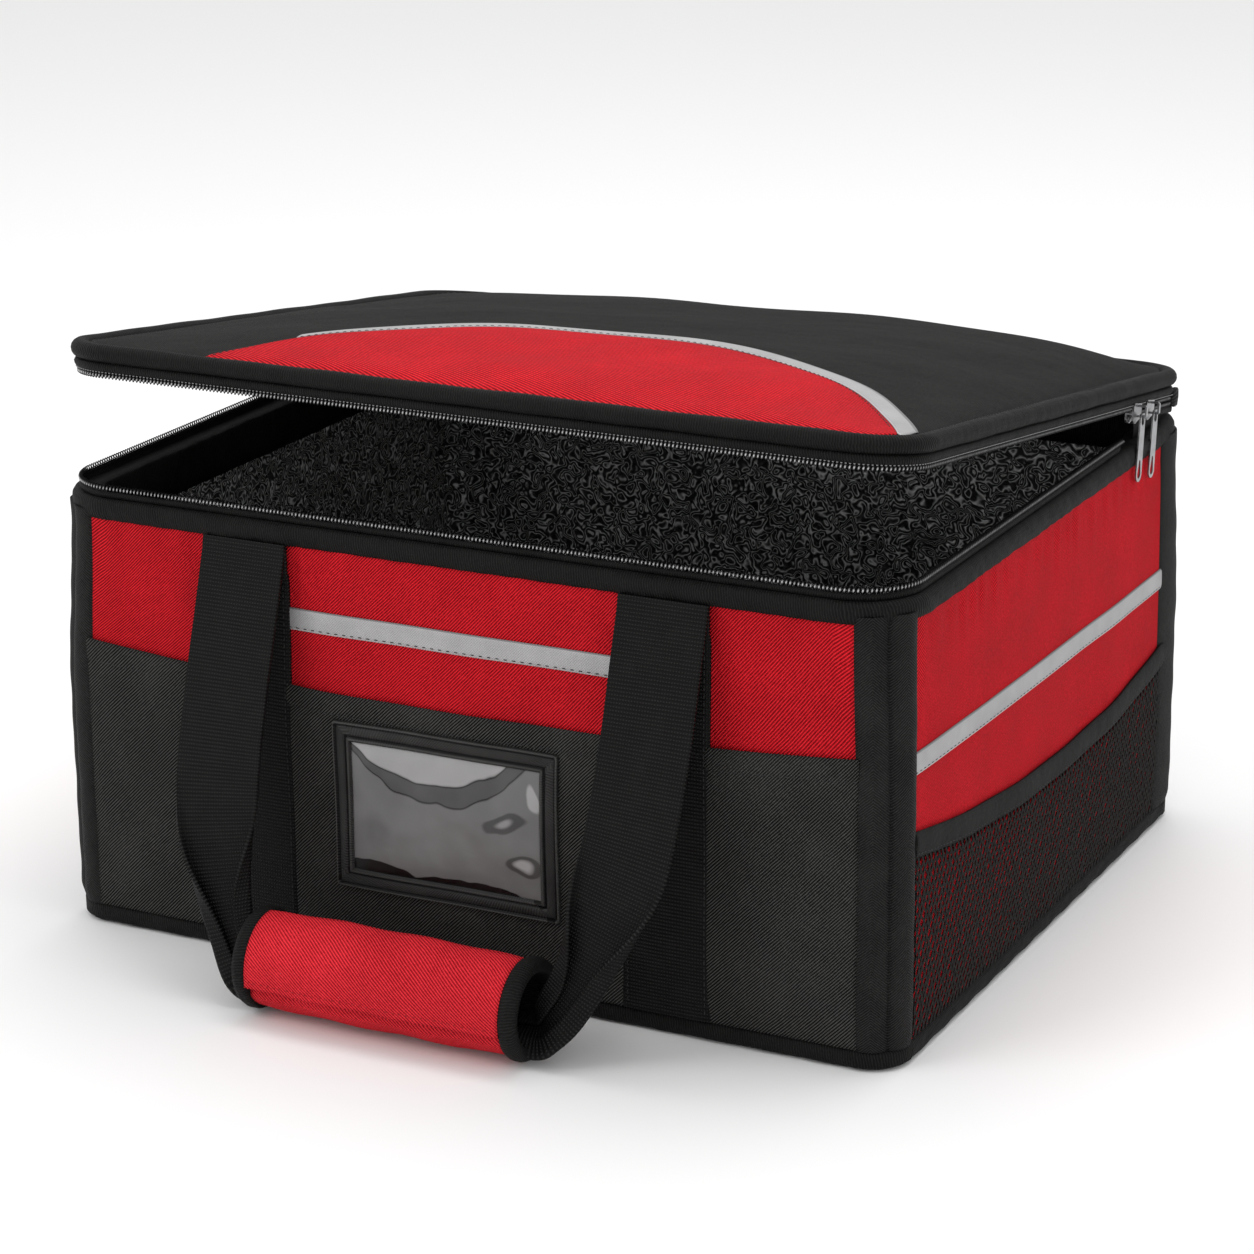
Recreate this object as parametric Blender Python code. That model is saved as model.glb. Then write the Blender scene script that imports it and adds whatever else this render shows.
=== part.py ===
"""Insulated pizza delivery bag with a zipped lid, two webbing handles and a padded grip.

Metres, +Z up. The origin is the middle of the base, on the surface that the bag stands on.
The front of the bag faces -Y. The lid lies open at its rest angle, and the front handle lies
on the surface in front of the bag.
"""

import math

import bmesh
import bpy
from mathutils import Matrix, Vector

# Overall size
BODY_WIDTH = 0.498
BODY_DEPTH = 0.432
ZIP_HEIGHT = 0.254
CORNER_RADIUS = 0.022
RIM_RADIUS = 0.036
GAP = 0.0003
CORNER_STEPS = 6

# Walls, base and liner
WALL_THICKNESS = 0.012
BASE_THICKNESS = 0.0112
LINER_THICKNESS = 0.001

# Bindings
BINDING_HEIGHT = 0.011
BINDING_THICKNESS = 0.0015
BAND_SETDOWN = 0.0075
BAND_HEIGHT = 0.0105
BAND_THICKNESS = 0.0012
BAND_INNER_DROP = 0.008
BEAD_HEIGHT = 0.0017
BEAD_STEPS = 16
BEAD_POWER = 0.6
BINDING_EDGE_SHARE = 0.6
BINDING_SHOULDER_SHARE = 0.2

# Zip
ZIP_INSET = 0.003
TAPE_THICKNESS = 0.0009
CHAIN_THICKNESS = 0.0024
CHAIN_HEIGHT = 0.0034
TOOTH_HEIGHT = 0.002
TOOTH_PITCH = 0.006
MESH_CLEARANCE = 0.0004
ZIP_END_SETBACK = 0.021
LEFT_LID_ZIP_SETBACK = 0.030
OPEN_ZIP_SETBACK = 0.106
CLOSED_TAPE_HEIGHT = 0.003
STOP_LENGTH = 0.004
STOP_WALL = 0.0009

# Sliders and their pull tabs
SLIDER_LENGTH = 0.013
SLIDER_PLATE = 0.0011
SLIDER_FLANGE = 0.0006
SLIDER_CLEARANCE = 0.0003
SLIDER_POST_LENGTH = 0.003
SLIDER_POST_HEIGHT = 0.001
SLIDER_SETBACKS = {"front": 0.089, "rear": 0.067}
BAIL_REACH = 0.0044
BAIL_BAR = 0.0011
BAIL_WIDTH = 0.0022
BAIL_OPENING = 0.0048
BAIL_SHOULDER_SHARE = 0.8
PULL_AXIS_REACH = 0.003
PULL_LENGTH = 0.039
PULL_THICKNESS = 0.0009
PULL_TOP_WIDTH = 0.0076
PULL_BOTTOM_WIDTH = 0.0092
PULL_CROSSBAR = 0.0012
PULL_EYE_WIDTH = 0.0046
PULL_EYE_LENGTH = 0.0058
PULL_HOLE_WIDTH = 0.0052
PULL_HOLE_LENGTH = 0.0105
PULL_HOLE_MARGIN = 0.0019
PULL_SHOULDER_SHARE = 0.4
PULL_HOLE_TOP_SHARE = 0.35

# Lid
LID_OPEN_ANGLE = math.radians(7.8)
LID_ZIP_BAND_HEIGHT = 0.004
PIPING_RADIUS = 0.005
LID_THICKNESS = 0.0085
LID_CROWN = 0.017
CROWN_POWER = 2.8
LID_EDGE_PARTS = 8
LID_FACING = 0.0007
FACING_CLEARANCE = 0.0006
ARC_CENTRE_X = 0.042
ARC_CENTRE_Y = -0.295
ARC_RADIUS = 0.217
ARC_COLUMNS = 26
ARC_ROWS = 5
REFLECTIVE_WIDTH = 0.012
REFLECTIVE_THICKNESS = 0.0006

# Hinge of the lid
HINGE_ROLL_RADIUS = 0.0025
HINGE_TAPE_THICKNESS = 0.001
HINGE_ROLL_SIDES = 16

# Webbing and handles
WEBBING_WIDTH = 0.050
WEBBING_THICKNESS = 0.002
WEBBING_CENTRE = 0.123
ANCHOR_FOLD_HEIGHT = 0.014
PIVOT_BELOW_BAND = 0.007
FOLDED_WIDTH = 0.025
FOLDED_THICKNESS = 0.004
FRONT_REACH = 0.054
REAR_REACH = 0.020
STRAP_STATIONS = 44
GRIP_STATIONS = 4

# Grip
GRIP_RADIUS = 0.026
GRIP_LENGTH = 0.150
GRIP_SHIFT = -0.006
GRIP_WALL = 0.0065
GRIP_FLOOR_GAP = 0.0005
FLAP_THICKNESS = 0.0025
FLAP_LOW_ANGLE = math.radians(-14)
FLAP_HIGH_ANGLE = math.radians(95)
GRIP_BINDING_LENGTH = 0.009
GRIP_BINDING_PROUD = 0.001
FLAP_EDGE_GAP = math.radians(1.5)
FLAP_STEPS = 12
GRIP_STEPS = 24

# Front pocket and its window
POCKET_HEIGHT = 0.158
POCKET_RISE = 0.009
POCKET_THICKNESS = 0.0012
POCKET_BULGE = 0.003
POCKET_HEM = 0.012
POCKET_HEM_EXTRA = 0.0006
POCKET_COLUMNS = 12
POCKET_ROWS = 8
BULGE_POWER = 6
WINDOW_WIDTH = 0.134
WINDOW_HEIGHT = 0.093
WINDOW_CENTRE_X = -0.004
WINDOW_BOTTOM = 0.052
WINDOW_RADIUS = 0.005
WINDOW_BORDER = 0.0115
WINDOW_STEP = 0.006
WINDOW_OUTER_THICKNESS = 0.001
WINDOW_INNER_THICKNESS = 0.0018
FILM_THICKNESS = 0.0004

# Sides
FRONT_STRIP_HEIGHT_SHARE = 0.41
SIDE_STRIP_FRONT = 0.1545
SIDE_STRIP_REAR = 0.1485
NET_TOP_FRONT = 0.125
NET_TOP_MIDDLE = 0.103
NET_TOP_REAR = 0.117
NET_LOW_SHARE = 0.58
NET_BAND_HEIGHT = 0.014
NET_BAND_THICKNESS = 0.0012
NET_THICKNESS = 0.0008
NET_COLUMNS = 22
NET_ROWS = 9
NET_STRAND = 0.0012
NET_BORDER = 0.003
SIDE_PANEL_THICKNESS = 0.001
SIDE_COLUMNS = 16

# Derived places
HALF_WIDTH = BODY_WIDTH / 2
HALF_DEPTH = BODY_DEPTH / 2
WALL_BOTTOM = BASE_THICKNESS + GAP
BAND_TOP = ZIP_HEIGHT - BAND_SETDOWN
BAND_BOTTOM = BAND_TOP - BAND_HEIGHT
WALL_TOP = BAND_TOP - BAND_THICKNESS - GAP
HANDLE_PIVOT_HEIGHT = BAND_BOTTOM - PIVOT_BELOW_BAND
PANEL_BOTTOM = BINDING_HEIGHT + GAP
LINER_INSET = WALL_THICKNESS + GAP
BAND_INNER_INSET = LINER_INSET + LINER_THICKNESS + GAP
CHAIN_BOTTOM = ZIP_HEIGHT - CHAIN_HEIGHT
TOOTH_LOW = ZIP_HEIGHT - TOOTH_HEIGHT / 2
CHAIN_TOP = ZIP_HEIGHT + MESH_CLEARANCE + CHAIN_HEIGHT
LID_ZIP_BAND_TOP = CHAIN_TOP + GAP + LID_ZIP_BAND_HEIGHT
PIPING_CENTRE_HEIGHT = LID_ZIP_BAND_TOP + GAP + PIPING_RADIUS
PIPING_INSET = ZIP_INSET
HINGE_Y = HALF_DEPTH - PIPING_INSET
LID_INSET = PIPING_INSET + PIPING_RADIUS + GAP
LID_BOTTOM = LID_ZIP_BAND_TOP + GAP
LID_EDGE_TOP = LID_BOTTOM + LID_THICKNESS
CHAIN_X = HALF_WIDTH - ZIP_INSET
SLIDER_FACE = CHAIN_THICKNESS / 2 + SLIDER_CLEARANCE + SLIDER_PLATE
SLIDER_TOP = CHAIN_TOP - ZIP_HEIGHT + SLIDER_CLEARANCE + SLIDER_FLANGE
POST_TOP = TOOTH_LOW + MESH_CLEARANCE - ZIP_HEIGHT - SLIDER_CLEARANCE
ROW_HEIGHT = CHAIN_HEIGHT + TOOTH_HEIGHT / 2
SLIDER_BOTTOM = POST_TOP - SLIDER_POST_HEIGHT - ROW_HEIGHT - SLIDER_FLANGE
BAG_SIDE_Y = HALF_DEPTH - CORNER_RADIUS - GAP
BAG_SIDE_X = HALF_WIDTH - CORNER_RADIUS - GAP
WEBBING_INNER = WEBBING_CENTRE - WEBBING_WIDTH / 2 - GAP
WEBBING_OUTER = WEBBING_CENTRE + WEBBING_WIDTH / 2 + GAP
PIVOT_OFFSET = GAP + WEBBING_THICKNESS + WEBBING_THICKNESS + GAP + WEBBING_THICKNESS / 2
GRIP_CENTRE_HEIGHT = GRIP_RADIUS + GRIP_BINDING_PROUD + GRIP_FLOOR_GAP
GRIP_BORE = GRIP_RADIUS - GRIP_WALL
STRAP_SEAT = math.sqrt((GRIP_BORE - GAP) ** 2 - (FOLDED_WIDTH / 2) ** 2) - FOLDED_THICKNESS / 2

# Route of one half of a handle, as shares of its spread, reach and drop
HANDLE_ROUTE_SHARES = (
    (0.00, 0.00, 0.00),
    (0.00, 0.16, 0.13),
    (0.00, 0.40, 0.32),
    (0.01, 0.68, 0.54),
    (0.06, 0.88, 0.72),
    (0.22, 1.02, 0.865),
    (0.56, 1.03, 0.965),
    (0.95, 1.00, 1.00),
)
TWIST_START_SHARE = 0.42
TWIST_END_SHARE = 0.90


def clear_scene():
    """Remove the objects that a new file starts with."""
    for item in list(bpy.data.objects):
        bpy.data.objects.remove(item, do_unlink=True)


def finish_material(name, colour, roughness, metallic=0.0, alpha=1.0):
    """Return a Principled material with the piece's own colour and finish."""
    material = bpy.data.materials.new(name)
    material.use_nodes = True
    shader = material.node_tree.nodes["Principled BSDF"]
    shader.inputs["Base Color"].default_value = (*colour, 1.0)
    shader.inputs["Roughness"].default_value = roughness
    shader.inputs["Metallic"].default_value = metallic
    shader.inputs["Alpha"].default_value = alpha
    return material


RED = (0.50, 0.012, 0.022)
CHARCOAL = (0.028, 0.028, 0.027)
BLACK = (0.010, 0.010, 0.010)
SILVER = (0.60, 0.60, 0.60)
GREY = (0.42, 0.42, 0.42)
FINISHES = {
    "red_twill": (RED, 0.75, 0.0),
    "black_twill": (CHARCOAL, 0.80, 0.0),
    "black_binding": (BLACK, 0.85, 0.0),
    "black_webbing": (BLACK, 0.78, 0.0),
    "black_mesh": (BLACK, 0.70, 0.0),
    "liner_foil": (BLACK, 0.28, 0.0),
    "reflective_tape": (GREY, 0.35, 0.2),
    "vinyl": (BLACK, 0.40, 0.0),
    "clear_film": (SILVER, 0.10, 0.0),
    "zip_coil": (BLACK, 0.35, 0.0),
    "slider_metal": (SILVER, 0.25, 1.0),
}


def add_object(name, mesh, finish, parent=None):
    """Link a mesh as a named object with a material of its own."""
    colour, roughness, metallic = FINISHES[finish]
    mesh.materials.clear()
    mesh.materials.append(finish_material(name, colour, roughness, metallic))
    item = bpy.data.objects.new(name, mesh)
    bpy.context.collection.objects.link(item)
    if parent is not None:
        item.parent = parent
    return item


def mesh_from(name, points, faces):
    """Return a closed mesh with its faces pointing out."""
    mesh = bpy.data.meshes.new(name)
    mesh.from_pydata(points, [], faces)
    work = bmesh.new()
    work.from_mesh(mesh)
    bmesh.ops.recalc_face_normals(work, faces=work.faces)
    work.to_mesh(mesh)
    work.free()
    return mesh


def loft(name, rings, finish, parent=None, closed=False):
    """Join rings of equal length into one solid, capped at both ends unless it closes on itself."""
    count = len(rings[0])
    points = [tuple(point) for ring in rings for point in ring]
    faces = []
    last = len(rings) if closed else len(rings) - 1
    for row in range(last):
        here = row * count
        there = (row + 1) % len(rings) * count
        for column in range(count):
            after = (column + 1) % count
            faces.append((here + column, here + after, there + after, there + column))
    if not closed:
        faces.append(tuple(range(count)))
        faces.append(tuple(range(last * count, last * count + count)))
    return add_object(name, mesh_from(name, points, faces), finish, parent)


def box(name, low, high, finish, parent=None):
    """Return a plain block between two corners."""
    rings = []
    for height in (low[2], high[2]):
        rings.append([
            (low[0], low[1], height),
            (high[0], low[1], height),
            (high[0], high[1], height),
            (low[0], high[1], height),
        ])
    return loft(name, rings, finish, parent)


def arc_points(centre, radius, start, stop, steps):
    """Return points of an arc, both ends included."""
    points = []
    for index in range(steps + 1):
        angle = start + (stop - start) * index / steps
        points.append((centre[0] + radius * math.cos(angle), centre[1] + radius * math.sin(angle)))
    return points


def rounded_outline(width, depth, radius, inset, edge_parts=1):
    """Return a rounded rectangle, drawn in from the full size by the inset."""
    half_x = width / 2 - inset
    half_y = depth / 2 - inset
    turn = radius - inset
    corners = (
        ((half_x - turn, -half_y + turn), -math.pi / 2),
        ((half_x - turn, half_y - turn), 0.0),
        ((-half_x + turn, half_y - turn), math.pi / 2),
        ((-half_x + turn, -half_y + turn), math.pi),
    )
    outline = []
    for number, (centre, start) in enumerate(corners):
        arc = arc_points(centre, turn, start, start + math.pi / 2, CORNER_STEPS)
        outline.extend(arc)
        next_centre, next_start = corners[(number + 1) % len(corners)]
        begin = arc_points(next_centre, turn, next_start, next_start + math.pi / 2, CORNER_STEPS)[0]
        for part in range(1, edge_parts):
            share = part / edge_parts
            outline.append((
                arc[-1][0] + (begin[0] - arc[-1][0]) * share,
                arc[-1][1] + (begin[1] - arc[-1][1]) * share,
            ))
    return outline


def bound_ring(name, section, radius, finish, parent=None, origin=(0.0, 0.0, 0.0)):
    """Sweep a section of inset and height pairs around the bag's outline."""
    rings = []
    for inset, height in section:
        outline = rounded_outline(BODY_WIDTH, BODY_DEPTH, radius, inset)
        rings.append([(x - origin[0], y - origin[1], height - origin[2]) for x, y in outline])
    return loft(name, rings, finish, parent, closed=True)


def flat_mesh(name, loops, thickness):
    """Fill a flat outline, with any holes in it, and give it its thickness."""
    curve = bpy.data.curves.new(name, "CURVE")
    curve.dimensions = "2D"
    curve.fill_mode = "BOTH"
    curve.extrude = thickness / 2
    for loop in loops:
        spline = curve.splines.new("POLY")
        spline.points.add(len(loop) - 1)
        for point, place in zip(spline.points, loop):
            point.co = (place[0], place[1], 0.0, 1.0)
        spline.use_cyclic_u = True
    holder = bpy.data.objects.new(name + "_outline", curve)
    bpy.context.collection.objects.link(holder)
    bpy.context.view_layer.update()
    mesh = bpy.data.meshes.new_from_object(holder)
    bpy.data.objects.remove(holder, do_unlink=True)
    bpy.data.curves.remove(curve)
    work = bmesh.new()
    work.from_mesh(mesh)
    bmesh.ops.remove_doubles(work, verts=work.verts, dist=GAP / 30)
    bmesh.ops.recalc_face_normals(work, faces=work.faces)
    work.to_mesh(mesh)
    work.free()
    return mesh


def side_plate(name, loops, thickness, face, side, finish):
    """Stand a flat outline of Y and Z places against the bag's left or right side."""
    mesh = flat_mesh(name, loops, thickness)
    turn = Matrix(((0, 0, side, 0), (1, 0, 0, 0), (0, 1, 0, 0), (0, 0, 0, 1)))
    mesh.transform(turn)
    if side < 0:
        mesh.flip_normals()
    plate = add_object(name, mesh, finish)
    plate.location.x = side * (face + thickness / 2)
    return plate


def axis_empty(name, place, tilt=0.0):
    """Mark a joint's axis with an empty that carries the moving pieces."""
    marker = bpy.data.objects.new(name, None)
    marker.location = place
    marker.rotation_euler = (tilt, 0.0, 0.0)
    bpy.context.collection.objects.link(marker)
    return marker


def base_and_walls():
    """Padded base and the four padded walls that stand on it."""
    outline = rounded_outline(BODY_WIDTH, BODY_DEPTH, CORNER_RADIUS, 0.0)
    rings = [[(x, y, height) for x, y in outline] for height in (0.0, BASE_THICKNESS)]
    loft("base_panel", rings, "black_twill")
    for side, name in ((-1, "front_wall"), (1, "rear_wall")):
        near, far = sorted((side * HALF_DEPTH, side * (HALF_DEPTH - WALL_THICKNESS)))
        box(name, (-BAG_SIDE_X, near, WALL_BOTTOM), (BAG_SIDE_X, far, WALL_TOP), "red_twill")
    for side, name in ((-1, "left_wall"), (1, "right_wall")):
        near, far = sorted((side * HALF_WIDTH, side * (HALF_WIDTH - WALL_THICKNESS)))
        box(name, (near, -BAG_SIDE_Y, WALL_BOTTOM), (far, BAG_SIDE_Y, WALL_TOP), "red_twill")


def corner_profile(bead):
    """Return one corner's section about its own centre, with two beads and a groove between."""
    outer = []
    for index in range(BEAD_STEPS + 1):
        angle = math.pi / 2 * index / BEAD_STEPS
        radius = CORNER_RADIUS
        if bead:
            radius += BEAD_HEIGHT * abs(math.sin(4 * angle)) ** BEAD_POWER - GAP
        outer.append((radius * math.cos(angle), radius * math.sin(angle)))
    inner = arc_points((0.0, 0.0), CORNER_RADIUS - WALL_THICKNESS, math.pi / 2, 0.0, BEAD_STEPS)
    return outer + inner


def corner_bindings():
    """Bound corner seams, which stand from the bottom binding up into the rim band."""
    levels = (
        (PANEL_BOTTOM + GAP, True),
        (BAND_BOTTOM - GAP, True),
        (BAND_BOTTOM - GAP, False),
        (WALL_TOP, False),
    )
    corners = (("front_right", 1, -1), ("front_left", -1, -1), ("rear_right", 1, 1), ("rear_left", -1, 1))
    for name, side_x, side_y in corners:
        centre_x = side_x * (HALF_WIDTH - CORNER_RADIUS)
        centre_y = side_y * (HALF_DEPTH - CORNER_RADIUS)
        rings = []
        for height, bead in levels:
            rings.append([
                (centre_x + side_x * x, centre_y + side_y * y, height) for x, y in corner_profile(bead)
            ])
        loft(name + "_corner_binding", rings, "black_binding")


def liners():
    """Insulating liner of the walls and of the floor."""
    wall_section = (
        (LINER_INSET, WALL_BOTTOM),
        (LINER_INSET, WALL_TOP),
        (LINER_INSET + LINER_THICKNESS, WALL_TOP),
        (LINER_INSET + LINER_THICKNESS, WALL_BOTTOM),
    )
    bound_ring("wall_liner", wall_section, CORNER_RADIUS, "liner_foil")
    floor_outline = rounded_outline(BODY_WIDTH, BODY_DEPTH, CORNER_RADIUS, BAND_INNER_INSET)
    levels = (WALL_BOTTOM, WALL_BOTTOM + LINER_THICKNESS)
    loft("floor_liner", [[(x, y, height) for x, y in floor_outline] for height in levels], "liner_foil")


def bindings():
    """Binding round the bottom edge, and the rim band folded over the wall tops."""
    bottom_section = (
        (-GAP, GAP),
        (-GAP, BINDING_HEIGHT),
        (-GAP - BINDING_THICKNESS * BINDING_EDGE_SHARE, BINDING_HEIGHT),
        (-GAP - BINDING_THICKNESS, BINDING_HEIGHT * (1 - BINDING_SHOULDER_SHARE)),
        (-GAP - BINDING_THICKNESS, BINDING_HEIGHT * BINDING_SHOULDER_SHARE),
        (-GAP - BINDING_THICKNESS * BINDING_EDGE_SHARE, GAP),
    )
    bound_ring("bottom_binding", bottom_section, CORNER_RADIUS, "black_binding")
    outer = -GAP - BAND_THICKNESS
    inner = BAND_INNER_INSET + BAND_THICKNESS
    rim_section = (
        (-GAP, BAND_BOTTOM),
        (outer, BAND_BOTTOM),
        (outer, BAND_TOP - BAND_THICKNESS),
        (-GAP, BAND_TOP),
        (BAND_INNER_INSET, BAND_TOP),
        (inner, BAND_TOP - BAND_THICKNESS),
        (inner, BAND_TOP - BAND_INNER_DROP),
        (BAND_INNER_INSET, BAND_TOP - BAND_INNER_DROP),
        (BAND_INNER_INSET, BAND_TOP - BAND_THICKNESS),
        (-GAP, BAND_TOP - BAND_THICKNESS),
    )
    bound_ring("rim_band", rim_section, CORNER_RADIUS, "black_binding")


def zip_route(right_end, left_end):
    """Return the straight runs and corner arcs that the zip follows, from right rear to left rear."""
    turn = RIM_RADIUS - ZIP_INSET
    side = HALF_WIDTH - ZIP_INSET
    front = -HALF_DEPTH + ZIP_INSET
    right_arc = arc_points((side - turn, front + turn), turn, 0.0, -math.pi / 2, CORNER_STEPS)
    left_arc = arc_points((-side + turn, front + turn), turn, -math.pi / 2, -math.pi, CORNER_STEPS)
    return [(side, right_end)] + right_arc + left_arc + [(-side, left_end)]


def resample(route, spacing):
    """Return evenly spaced points along a route, with the unit side direction at each."""
    lengths = [math.dist(route[index], route[index + 1]) for index in range(len(route) - 1)]
    total = sum(lengths)
    count = max(2, round(total / spacing))
    stations = []
    for index in range(count + 1):
        distance = min(total * index / count, total)
        leg = 0
        while leg < len(lengths) - 1 and distance > lengths[leg]:
            distance -= lengths[leg]
            leg += 1
        share = distance / lengths[leg]
        start = route[leg]
        stop = route[leg + 1]
        along = ((stop[0] - start[0]) / lengths[leg], (stop[1] - start[1]) / lengths[leg])
        place = (start[0] + (stop[0] - start[0]) * share, start[1] + (stop[1] - start[1]) * share)
        stations.append((place, (along[1], -along[0])))
    return stations


def route_sides(route):
    """Return each point of a route with its mean side direction."""
    stations = []
    for index, place in enumerate(route):
        before = route[max(index - 1, 0)]
        after = route[min(index + 1, len(route) - 1)]
        length = math.dist(before, after)
        stations.append((place, ((after[1] - before[1]) / length, -(after[0] - before[0]) / length)))
    return stations


def tape(name, route, low, high, finish, parent=None, origin=(0.0, 0.0, 0.0)):
    """Stand a thin tape on edge along a route."""
    rings = []
    half = TAPE_THICKNESS / 2
    for (x, y), (side_x, side_y) in route_sides(route):
        rings.append([
            (x + side_x * offset - origin[0], y + side_y * offset - origin[1], height - origin[2])
            for offset, height in ((-half, low), (half, low), (half, high), (-half, high))
        ])
    return loft(name, rings, finish, parent)


def zip_stations():
    """Return the places of every half tooth, so that both rows of teeth fit each other."""
    end = HALF_DEPTH - ZIP_END_SETBACK
    return resample(zip_route(end, end), TOOTH_PITCH / 2)


def chain(name, right_setback, left_setback, base, low_tip, parent=None, origin=(0.0, 0.0, 0.0)):
    """Stand a row of zip teeth on the zip's route, between a setback at the right and the left."""
    half = CHAIN_THICKNESS / 2
    stations = zip_stations()
    first = math.ceil((right_setback - ZIP_END_SETBACK) / (TOOTH_PITCH / 2))
    last = len(stations) - 1 - math.ceil((left_setback - ZIP_END_SETBACK) / (TOOTH_PITCH / 2))
    rings = []
    for index in range(first, last + 1):
        (x, y), (side_x, side_y) = stations[index]
        tip = low_tip + index % 2 * TOOTH_HEIGHT
        rings.append([
            (x + side_x * offset - origin[0], y + side_y * offset - origin[1], height - origin[2])
            for offset, height in ((-half, base), (half, base), (half, tip), (-half, tip))
        ])
    item = loft(name, rings, "zip_coil", parent)
    simplify_flats(item.data)
    return item


def simplify_flats(mesh):
    """Merge the flat faces between teeth on the straight runs."""
    work = bmesh.new()
    work.from_mesh(mesh)
    bmesh.ops.dissolve_limit(
        work, angle_limit=math.radians(0.5), verts=work.verts, edges=work.edges,
    )
    work.to_mesh(mesh)
    work.free()


def zip_stop(name, side, end, low, high, parent=None, origin=(0.0, 0.0, 0.0)):
    """Metal stop crimped round the end of the zip."""
    reach = CHAIN_THICKNESS / 2 + STOP_WALL
    near = side * CHAIN_X - reach
    far = side * CHAIN_X + reach
    start = end + GAP - origin[1]
    box(name, (near, start, low - origin[2]), (far, start + STOP_LENGTH, high - origin[2]),
        "slider_metal", parent)


def body_zip():
    """Zip tape and lower row of teeth on the rim, which stop short of the closed stretch."""
    right_end = HALF_DEPTH - OPEN_ZIP_SETBACK
    left_end = HALF_DEPTH - ZIP_END_SETBACK
    route = zip_route(right_end, left_end)
    tape("body_zip_tape", route, BAND_TOP + GAP, CHAIN_BOTTOM - GAP, "black_binding")
    chain("body_zip_chain", OPEN_ZIP_SETBACK, ZIP_END_SETBACK, CHAIN_BOTTOM, TOOTH_LOW)
    zip_stop("left_zip_stop", -1, left_end, CHAIN_BOTTOM, TOOTH_LOW + TOOTH_HEIGHT)


def closed_zip(axis, origin):
    """Closed stretch of the zip at the right rear, which hangs from the lid's edge."""
    end = HALF_DEPTH - ZIP_END_SETBACK
    tail = HALF_DEPTH - SLIDER_SETBACKS["rear"] - SLIDER_LENGTH / 2
    inside = tail + SLIDER_POST_LENGTH + TOOTH_PITCH / 2
    stations = zip_stations()
    route_length = (len(stations) - 1) * TOOTH_PITCH / 2
    left_setback = route_length + ZIP_END_SETBACK - (end - inside)
    chain("closed_zip_row", ZIP_END_SETBACK, left_setback, CHAIN_BOTTOM, TOOTH_LOW, axis, origin)
    route = [(CHAIN_X, end), (CHAIN_X, inside)]
    top = CHAIN_BOTTOM - GAP
    tape("closed_zip_tape", route, top - CLOSED_TAPE_HEIGHT, top, "black_binding", axis, origin)
    zip_stop("right_zip_stop", 1, end, CHAIN_BOTTOM, CHAIN_TOP, axis, origin)


def crown_height(x, y):
    """Return the height of the lid's padded top, with the lid shut."""
    half_x = HALF_WIDTH - LID_INSET
    half_y = HALF_DEPTH - LID_INSET
    across = max(0.0, 1 - abs(x / half_x) ** CROWN_POWER)
    along = max(0.0, 1 - abs(y / half_y) ** CROWN_POWER)
    return LID_EDGE_TOP + LID_CROWN * across * along


def lid_panel(axis, origin):
    """Padded lid panel with a crowned top."""
    outline = rounded_outline(BODY_WIDTH, BODY_DEPTH, RIM_RADIUS, LID_INSET, LID_EDGE_PARTS)
    shrink_shares = (1.0, 0.97, 0.91, 0.82, 0.68, 0.5, 0.3, 0.12)
    rings = [[(x, y, LID_BOTTOM) for x, y in outline]]
    for share in shrink_shares:
        rings.append([(x * share, y * share, crown_height(x * share, y * share)) for x, y in outline])
    rings = [[(x, y - origin[1], z - origin[2]) for x, y, z in ring] for ring in rings]
    loft("lid_panel", rings, "black_twill", axis)


def lid_front_edge(x):
    """Return the Y place of the lid's front fabric edge, which turns in at the corners."""
    half_x = HALF_WIDTH - LID_INSET
    turn = RIM_RADIUS - LID_INSET
    front = -HALF_DEPTH + LID_INSET
    past = abs(x) - (half_x - turn)
    if past <= 0:
        return front
    return front + turn - math.sqrt(max(0.0, turn ** 2 - past ** 2))


def facing(name, low_edge, high_edge, start, stop, rows, thickness, finish, axis, origin):
    """Lay a thin facing over the crown between two edges that are functions of X."""
    rings = []
    for index in range(ARC_COLUMNS + 1):
        x = start + (stop - start) * index / ARC_COLUMNS
        low = low_edge(x)
        high = max(high_edge(x), low + REFLECTIVE_THICKNESS)
        under = []
        over = []
        for row in range(rows + 1):
            y = low + (high - low) * row / rows
            height = crown_height(x, y) + FACING_CLEARANCE
            under.append((x, y - origin[1], height - origin[2]))
            over.append((x, y - origin[1], height + thickness - origin[2]))
        rings.append(under + over[::-1])
    loft(name, rings, finish, axis)


def lid_facings(axis, origin):
    """Red curved panel and the reflective arc behind it."""
    def arc_edge(radius):
        def edge(x):
            return ARC_CENTRE_Y + math.sqrt(max(0.0, radius ** 2 - (x - ARC_CENTRE_X) ** 2))
        return edge

    def arc_span(radius):
        inside = [
            step / 1000 * BODY_WIDTH for step in range(-500, 501)
            if abs(step / 1000 * BODY_WIDTH) < HALF_WIDTH - LID_INSET
            and arc_edge(radius)(step / 1000 * BODY_WIDTH) > lid_front_edge(step / 1000 * BODY_WIDTH)
        ]
        return inside[0], inside[-1]

    start, stop = arc_span(ARC_RADIUS)
    facing("lid_red_panel", lid_front_edge, arc_edge(ARC_RADIUS), start, stop, ARC_ROWS,
           LID_FACING, "red_twill", axis, origin)
    inner = ARC_RADIUS + GAP
    outer = inner + REFLECTIVE_WIDTH
    start, stop = arc_span(outer)

    def low_edge(x):
        return max(arc_edge(inner)(x), lid_front_edge(x)) + GAP / 2

    facing("lid_reflective_arc", low_edge, arc_edge(outer), start, stop, 1,
           REFLECTIVE_THICKNESS, "reflective_tape", axis, origin)


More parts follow.
